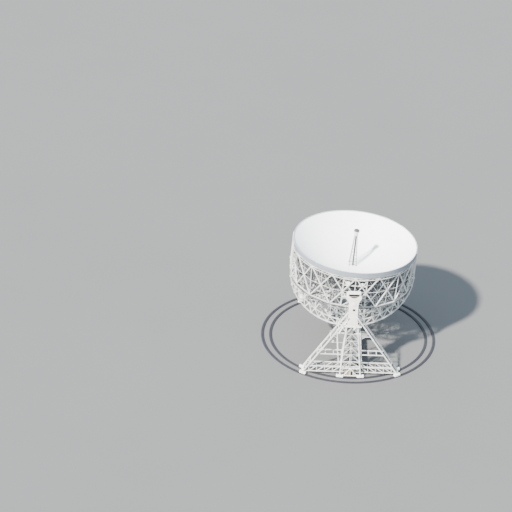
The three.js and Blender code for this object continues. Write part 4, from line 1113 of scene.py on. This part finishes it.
def housing_bearing(trim):
    """A raised ring round the trunnion on the inner face, and a bolted cover on the outer face."""
    trim.hoop(0.81, 1.7, 39.2, 39.5, ROUND, BEARING)
    trim.lathe([(0, 44.9), (1.5, 44.9), (1.5, 45.12), (1.2, 45.2), (0, 45.2)], ROUND, BEARING)
    trim.bolts(1.32, 45.1, 12, 0.16, 0.14, BEARING)


def housing_windows(trim, dark):
    """Dark panes in frames on the outer face, and plain panes on the sides."""
    face = HOUSING_FRONT - 0.02
    for x, z, half_x, half_z in FRONT_WINDOWS:
        left, right, low, high = x - half_x, x + half_x, z - half_z, z + half_z
        dark.block((left, face - 0.06, low), (right, face + 0.1, high))
        for edge_x, edge_z in ((left, low), (right, high)):
            trim.rod((edge_x, face, low), (edge_x, face, high), 0.1, 0.2)
            trim.rod((left, face, edge_z), (right, face, edge_z), 0.1, 0.2)
    for side in (-1, 1):
        for z in (42.3, 44.6):
            dark.box(side * (half_width(z) + 0.02), -42.9, 0.06, 0.5, z - 0.5, z + 0.5)


def housing(end):
    walls, trim, dark = Shape(), Shape(), Shape()
    walls.prism(housing_outline(), HOUSING_FRONT, HOUSING_BACK)
    housing_seams(trim)
    housing_bearing(trim)
    housing_windows(trim, dark)
    tower_piece(walls, end, "housing_walls", CLADDING, "housing", 0.1)
    tower_piece(trim, end, "housing_seams", CLADDING)
    tower_piece(dark, end, "housing_windows", DARK)


def saddle_shade_blocks(end):
    """Dark blocks and drums between the shoulders, under the roof: painted shade for the recess there."""
    dark = Shape()
    top, z = SHOULDER_Z + 0.05, SHOULDER_Z - HEAD_DIP
    bowl = [(-SHOULDER_X, top), (-1.5, z + 0.4), (0, z + 0.1), (1.5, z + 0.4), (SHOULDER_X, top)]
    dark.prism(bowl, HOUSING_FRONT + 0.1, ROOF_BACK)
    dark.block((-3.3, HOUSING_FRONT + 0.6, SHOULDER_Z), (3.3, ROOF_BACK - 0.3, ROOF_LOW - 0.1))
    z = SHOULDER_Z + 0.3
    for x in (-1.9, 0, 1.9):
        dark.rod((x, HOUSING_FRONT + 0.3, z), (x, ROOF_BACK - 0.3, z), 0.8, sides=12)
    # Painted shade: the dark steel fills the recess under the roof
    tower_piece(dark, end, "saddle_shade", DARK, bevel=0.05)


def roof(end):
    made = Shape()
    for grow, low, high in ((-0.1, ROOF_LOW + 0.1, ROOF_TOP - 0.2), (0.1, ROOF_TOP - 0.25, ROOF_TOP)):
        corner = (-ROOF_HALF - grow, HOUSING_FRONT - grow, low)
        made.block(corner, (ROOF_HALF + grow, ROOF_BACK + grow, high))
    z = ROOF_TOP + 0.03
    for x in steps(-ROOF_HALF + 0.3, ROOF_HALF - 0.3, 10):
        made.rod((x, HOUSING_FRONT - 0.05, z), (x, ROOF_BACK + 0.05, z), 0.08)
    for x in (-3.55, 3.55):
        for y in (HOUSING_FRONT + 0.25, ROOF_BACK - 0.25):
            made.rod((x, y, SHOULDER_Z), (x, y, ROOF_LOW + 0.2), 0.42)
    tower_piece(made, end, "roof_slab", CLADDING, "roof", 0.04)


# Bogies
def bogie(body, wheels, x, plane):
    """A frame on two flanged wheels, with side plates, buffers and motor boxes."""
    turn = Matrix.Translation((x, -plane, 0)) @ Matrix.Rotation(math.atan2(x, plane), 4, "Z")
    frame_edge = mirrored([(1.9, BOGIE_LOW), (BOGIE_HALF, 1.05), (BOGIE_HALF, 1.55), (2.0, BOGIE_TOP)])
    body.prism(frame_edge, -0.62, 0.62, turn)
    plate = mirrored([(1.95, 0.75), (2.1, 1.3), (1.7, 1.7)])
    for y in (-0.8, 0.68):
        body.prism(plate, y, y + 0.12, turn)
    for end in (-1, 1):
        hub = turn @ Matrix.Translation((end * WHEEL_X, 0, RAIL_TOP + WHEEL_R)) @ FACING_OUT
        wheels.hoop(0, WHEEL_R, -0.2, 0.2, ROUND, hub)
        for y in (-0.27, 0.2):
            wheels.hoop(0, WHEEL_R + 0.07, y, y + 0.07, ROUND, hub)
        for y in (-0.92, 0.68):
            body.hoop(0, 0.27, y, y + 0.24, 16, hub)
        body.box(end * 2.15, 0, 0.12, 0.3, 1.1, 1.5, turn)
        body.box(end * 1.75, 0, 0.35, 0.55, BOGIE_TOP - 0.02, 2.25, turn)


def corner_bogies(end, side, side_word):
    """Two bogies under one leg pair, the beam between them and fins."""
    body, wheels = Shape(), Shape()
    x = side * LEG_FOOT_X
    for plane in (OUTER_PLANE, INNER_PLANE):
        bogie(body, wheels, x, plane)
        body.box(x, -plane, 1.1, 0.7, BOGIE_TOP - 0.02, LEG_FOOT_Z + 0.1)
        for way in (-1, 1):
            fin = [(x + way * 0.36, 2.0), (x + way * 1.0, 2.0), (x + way * 0.36, 3.0)]
            body.prism(fin[::way], -plane - 0.12, -plane + 0.12)
    body.block((x - 0.8, -OUTER_PLANE - 0.7, BOGIE_TOP), (x + 0.8, -INNER_PLANE + 0.7, LEG_FOOT_Z))
    tower_piece(body, end, side_word + "_bogie_frames", BOGIE, side_word + "_bogies", 0.04)
    tower_piece(wheels, end, side_word + "_bogie_wheels", DARK)


def centre_bogies(end):
    """The shaft's two bogies, the spreader between them and the drive cabinets."""
    body, wheels, tan = Shape(), Shape(), Shape()
    y = -CENTRE_BOGIE_PLANE
    for side in (-1, 1):
        x = side * CENTRE_BOGIE_X
        bogie(body, wheels, x, CENTRE_BOGIE_PLANE)
        body.box(x, y, 0.8, 0.6, BOGIE_TOP - 0.02, 2.15)
        body.rod((side * 4.2, y, 1.55), (0, y + 0.2, SPREADER_TOP), 0.4)
        body.rod((side * 2.4, y, 1.6), (side * 2.1, y + 0.1, 4.0), 0.2)
    body.rod((-4.7, y, 1.55), (4.7, y, 1.55), 0.4)
    body.rod((0, y, 1.6), (0, y + 0.2, SPREADER_TOP), 0.24)
    tan.box(-1.45, y + 1.35, 1.95, 0.85, 1.5, 3.9)
    tan.box(-1.45, y + 1.35, 2.1, 0.95, 3.9, 4.05)
    tan.box(2.35, y + 1.2, 0.95, 0.6, 1.5, 2.7)
    tower_piece(body, end, "centre_bogie_frames", BOGIE, "centre_bogies", 0.04)
    tower_piece(wheels, end, "centre_bogie_wheels", DARK)
    tower_piece(tan, end, "drive_cabinets", TAN, bevel=0.05)


# The girder across the middle
def outrigger(lattice, deck, side, y):
    for offset in (-1.2, 1.2):
        start = (side * DIAMETER_X, y + offset, DIAMETER_TOP - 0.3)
        lattice.rod(start, (side * 11.6, y + offset, 5.85), 0.3)
    lattice.rod((side * 11.4, y, 5.8), (side * DIAMETER_X, y, DIAMETER_LOW + 0.5), 0.25)
    near, far, half = side * OUTRIGGER_NEAR, side * OUTRIGGER_FAR, 1.3
    corners = [(near, y - half), (far, y - half), (far, y + half), (near, y + half)]
    lattice.railing([(*corner, DIAMETER_TOP) for corner in corners])
    deck.box((near + far) / 2, y, abs(far - near) / 2, half, 6.02, 6.14)


def diameter_girder():
    lattice, deck = Shape(), Shape()
    positions = steps(-DIAMETER_HALF, DIAMETER_HALF, DIAMETER_PANELS)
    rows = [[(x, y, DIAMETER_LOW) for y in positions] for x in (-DIAMETER_X, DIAMETER_X)]
    lattice.web(*rows, 0.3, 0.22, crossed=True)
    for side in (-1, 1):
        x = side * DIAMETER_X
        for y in positions[1:-1]:
            if abs(y) > PIVOT_R:
                lattice.rod((x, y, DIAMETER_LOW), (0, y, DIAMETER_TOP - 0.3), 0.22)
        lattice.railing([(x, y, DIAMETER_TOP) for y in steps(-DIAMETER_HALF, DIAMETER_HALF, 36)])
        for y in (-WHEEL_PLANE, WHEEL_PLANE):
            outrigger(lattice, deck, side, y)
    for near, far in pairwise(steps(-DECK_HALF, DECK_HALF, 30)):
        for low, high in DECK_ROWS:
            corner = (low, near + 0.04, DIAMETER_TOP - 0.02)
            deck.block(corner, (high, far - 0.04, DIAMETER_TOP + 0.06))
    build(lattice, "diameter_bracing", "turntable", STEEL)
    build(deck, "diameter_deck", "turntable", DECK)


def rollers():
    made, dark = Shape(), Shape()
    for y in (-WHEEL_PLANE, WHEEL_PLANE):
        for way in (-1, 1):
            x = way * ROLLER_REACH * math.sin(ROLLER_ANGLE)
            z = AXIS_Z - ROLLER_REACH * math.cos(ROLLER_ANGLE)
            for offset in (-0.94, 0.94):
                made.box(x, y + offset, 0.35, 0.11, z - 0.75, z + 0.3)
            made.box(x, y, 0.7, 1.1, z - 1.0, z - 0.7)
            made.rod((x, y - 1.2, z), (x, y + 1.2, z), 0.3, sides=16)
            for foot in (way, way * 6.2):
                feet = [(foot, y + offset, ROLLER_FRAME_Z) for offset in (-1, 1)]
                for start in feet:
                    made.rod(start, (x, start[1], z - 0.9), 0.22)
                made.rod(*feet, 0.25)
            dark.rod((x, y - 0.78, z), (x, y + 0.78, z), 0.98, sides=ROUND)
        made.box(0, y, 1.3, 0.5, 7.0, 8.2)
    build(made, "roller_bearings", "turntable", BOGIE, bevel=0.03)
    build(dark, "roller_treads", "turntable", DARK)


# Pivot and tracks
def pivot():
    made, bearing = Shape(), Shape()
    outer, r, top = PLINTH_R, PIVOT_R, PIVOT_TOP
    made.lathe([(0, 0), (outer, 0), (outer, 0.65), (outer - 0.15, PLINTH_TOP), (1.9, PLINTH_TOP),
                (1.9, 0.95), (r, 1.0), (r, top - 0.1), (r - 0.1, top), (0, top)], SMOOTH)
    made.bolts(3.9, PLINTH_TOP, 24, 0.22, 0.24)
    build(made, "pivot_base", "track", CONCRETE, replaced="pivot_plinth")
    inner, low, top = PIVOT_R + 0.03, PLINTH_TOP + 0.02, 5.69
    bearing.hoop(inner, 2.75, low + 0.4, top, SMOOTH)
    for w in (low, 3.0, top - 0.25):
        bearing.hoop(inner, 3.0, w, w + 0.22, SMOOTH)
    bearing.staves(2.85, low + 0.1, top - 0.05, 16, 0.1, 0.25)
    build(bearing, "pivot_ring", "turntable", BOGIE, replaced="pivot_bearing")


def track(name, radius):
    """A ring beam cast in segments, with two rails and their clips."""
    beam, rail = Shape(), Shape()
    gap, half, top = 0.05 / radius, TRACK_HALF, TRACK_TOP
    section = mirrored([(half, 0), (half, top - 0.1), (half - 0.12, top)])
    section = [(radius + x, z) for x, z in section]
    for start in angles(TRACK_SEGMENTS):
        beam.lathe(section, 3, None, start + gap, TAU / TRACK_SEGMENTS - 2 * gap)
    build(beam, name + "_beam", "track", CONCRETE, replaced=name)
    section = mirrored([(0.14, top - 0.02), (0.14, 0.43), (0.07, 0.47), (0.09, RAIL_TOP)])
    for middle in (radius - RAIL_OFFSET, radius + RAIL_OFFSET):
        rail.lathe([(middle + x, z) for x, z in section], FINE)
    for angle in angles(RAIL_CLIPS):
        turn = Matrix.Rotation(angle, 4, "Z")
        rail.box(radius, 0, 0.62, 0.1, top - 0.02, top + 0.045, turn)
    build(rail, name + "_rails", "track", RAIL)


# Kept pieces of the frame, floor, light and camera
def finish_frame():
    slots = {part["node"]: part["material_slot"] for part in frame["record"]["subparts"]}
    for name, part in frame["nodes"].items():
        part.data.materials.clear()
        # Nodes inside the dish get the painted shade; the rest get their slot's first material
        part.data.materials.append(PAINTED_SHADE_STEEL if name in PAINTED_SHADE_NODES else FINISHES[slots[name]][0])


def floor():
    material = surface("pale_floor", (0.105, 0.105, 0.103), (0.101, 0.101, 0.099), (0.093, 0.093, 0.092),
                       0.9, patch=0.05, streak=0.2, amount=0.2, bump=0.02)
    corners = [(x * 400, y * 400, 0) for x, y in SQUARE]
    ground = linked_mesh("floor", corners, [(0, 1, 2, 3)], material)
    ground.location.z = -0.002


def lights():
    sun = bpy.data.lights.new("key", "SUN")
    sun.energy = 20
    sun.angle = math.radians(3)
    sun.color = (1.0, 0.97, 0.92)
    lamp = linked("key", sun)
    lamp.rotation_mode = "QUATERNION"
    lamp.rotation_quaternion = Vector(KEY_DIRECTION).to_track_quat("-Z", "Y")
    world = bpy.data.worlds.new("studio")
    world.use_nodes = True
    sky = world.node_tree.nodes["Background"].inputs
    sky["Color"].default_value = (0.68, 0.83, 1.0, 1)
    sky["Strength"].default_value = 2.0
    bpy.context.scene.world = world


def camera():
    """The camera fitted to the photograph: its middle looks past the target by some pixels."""
    azimuth, lean, roll = map(math.radians, (VIEW_AZIMUTH, 90 - VIEW_ELEVATION, VIEW_ROLL))
    turn = Matrix.Rotation(azimuth, 3, "Z") @ Matrix.Rotation(lean, 3, "X") @ Matrix.Rotation(roll, 3, "Z")
    past_x, past_y = TARGET_PIXEL
    forward = turn @ Vector((-past_x, past_y, -PHOTO_FOCAL)).normalized()
    right = forward.cross(turn @ Y).normalized()
    looking = Matrix((right, right.cross(forward), -forward)).transposed().to_4x4()
    data = bpy.data.cameras.new("camera")
    data.sensor_width = SENSOR
    data.lens = PHOTO_FOCAL * SENSOR / PHOTO_SIZE
    data.clip_end = 2000
    eye = linked("camera", data)
    eye.matrix_world = Matrix.Translation((Z * VIEW_TARGET_Z + turn @ Z * VIEW_DISTANCE) * M) @ looking
    bpy.context.scene.camera = eye


for sub_part in (camera, lights, floor, finish_frame, reflector, rim_band, back_membrane, ribs,
                 radial_frames, wall_bracing, neck_ring, belt_walkway, wheel_rims, wheel_cross_bracing,
                 arm_bracing, under_hub, mast, mast_ladder, cabin):
    sub_part()
for end in TOWERS:
    trunnion_frame(end)
    trunnion(end)
for end in TOWERS:
    for sub_part in (tower_lattices, housing, saddle_shade_blocks, roof):
        sub_part(end)
    for side, side_word in zip((-1, 1), LEG_SIDES[end]):
        corner_bogies(end, side, side_word)
    centre_bogies(end)
for sub_part in (diameter_girder, rollers, pivot):
    sub_part()
track("outer_track", OUTER_TRACK_R)
track("inner_track", INNER_TRACK_R)
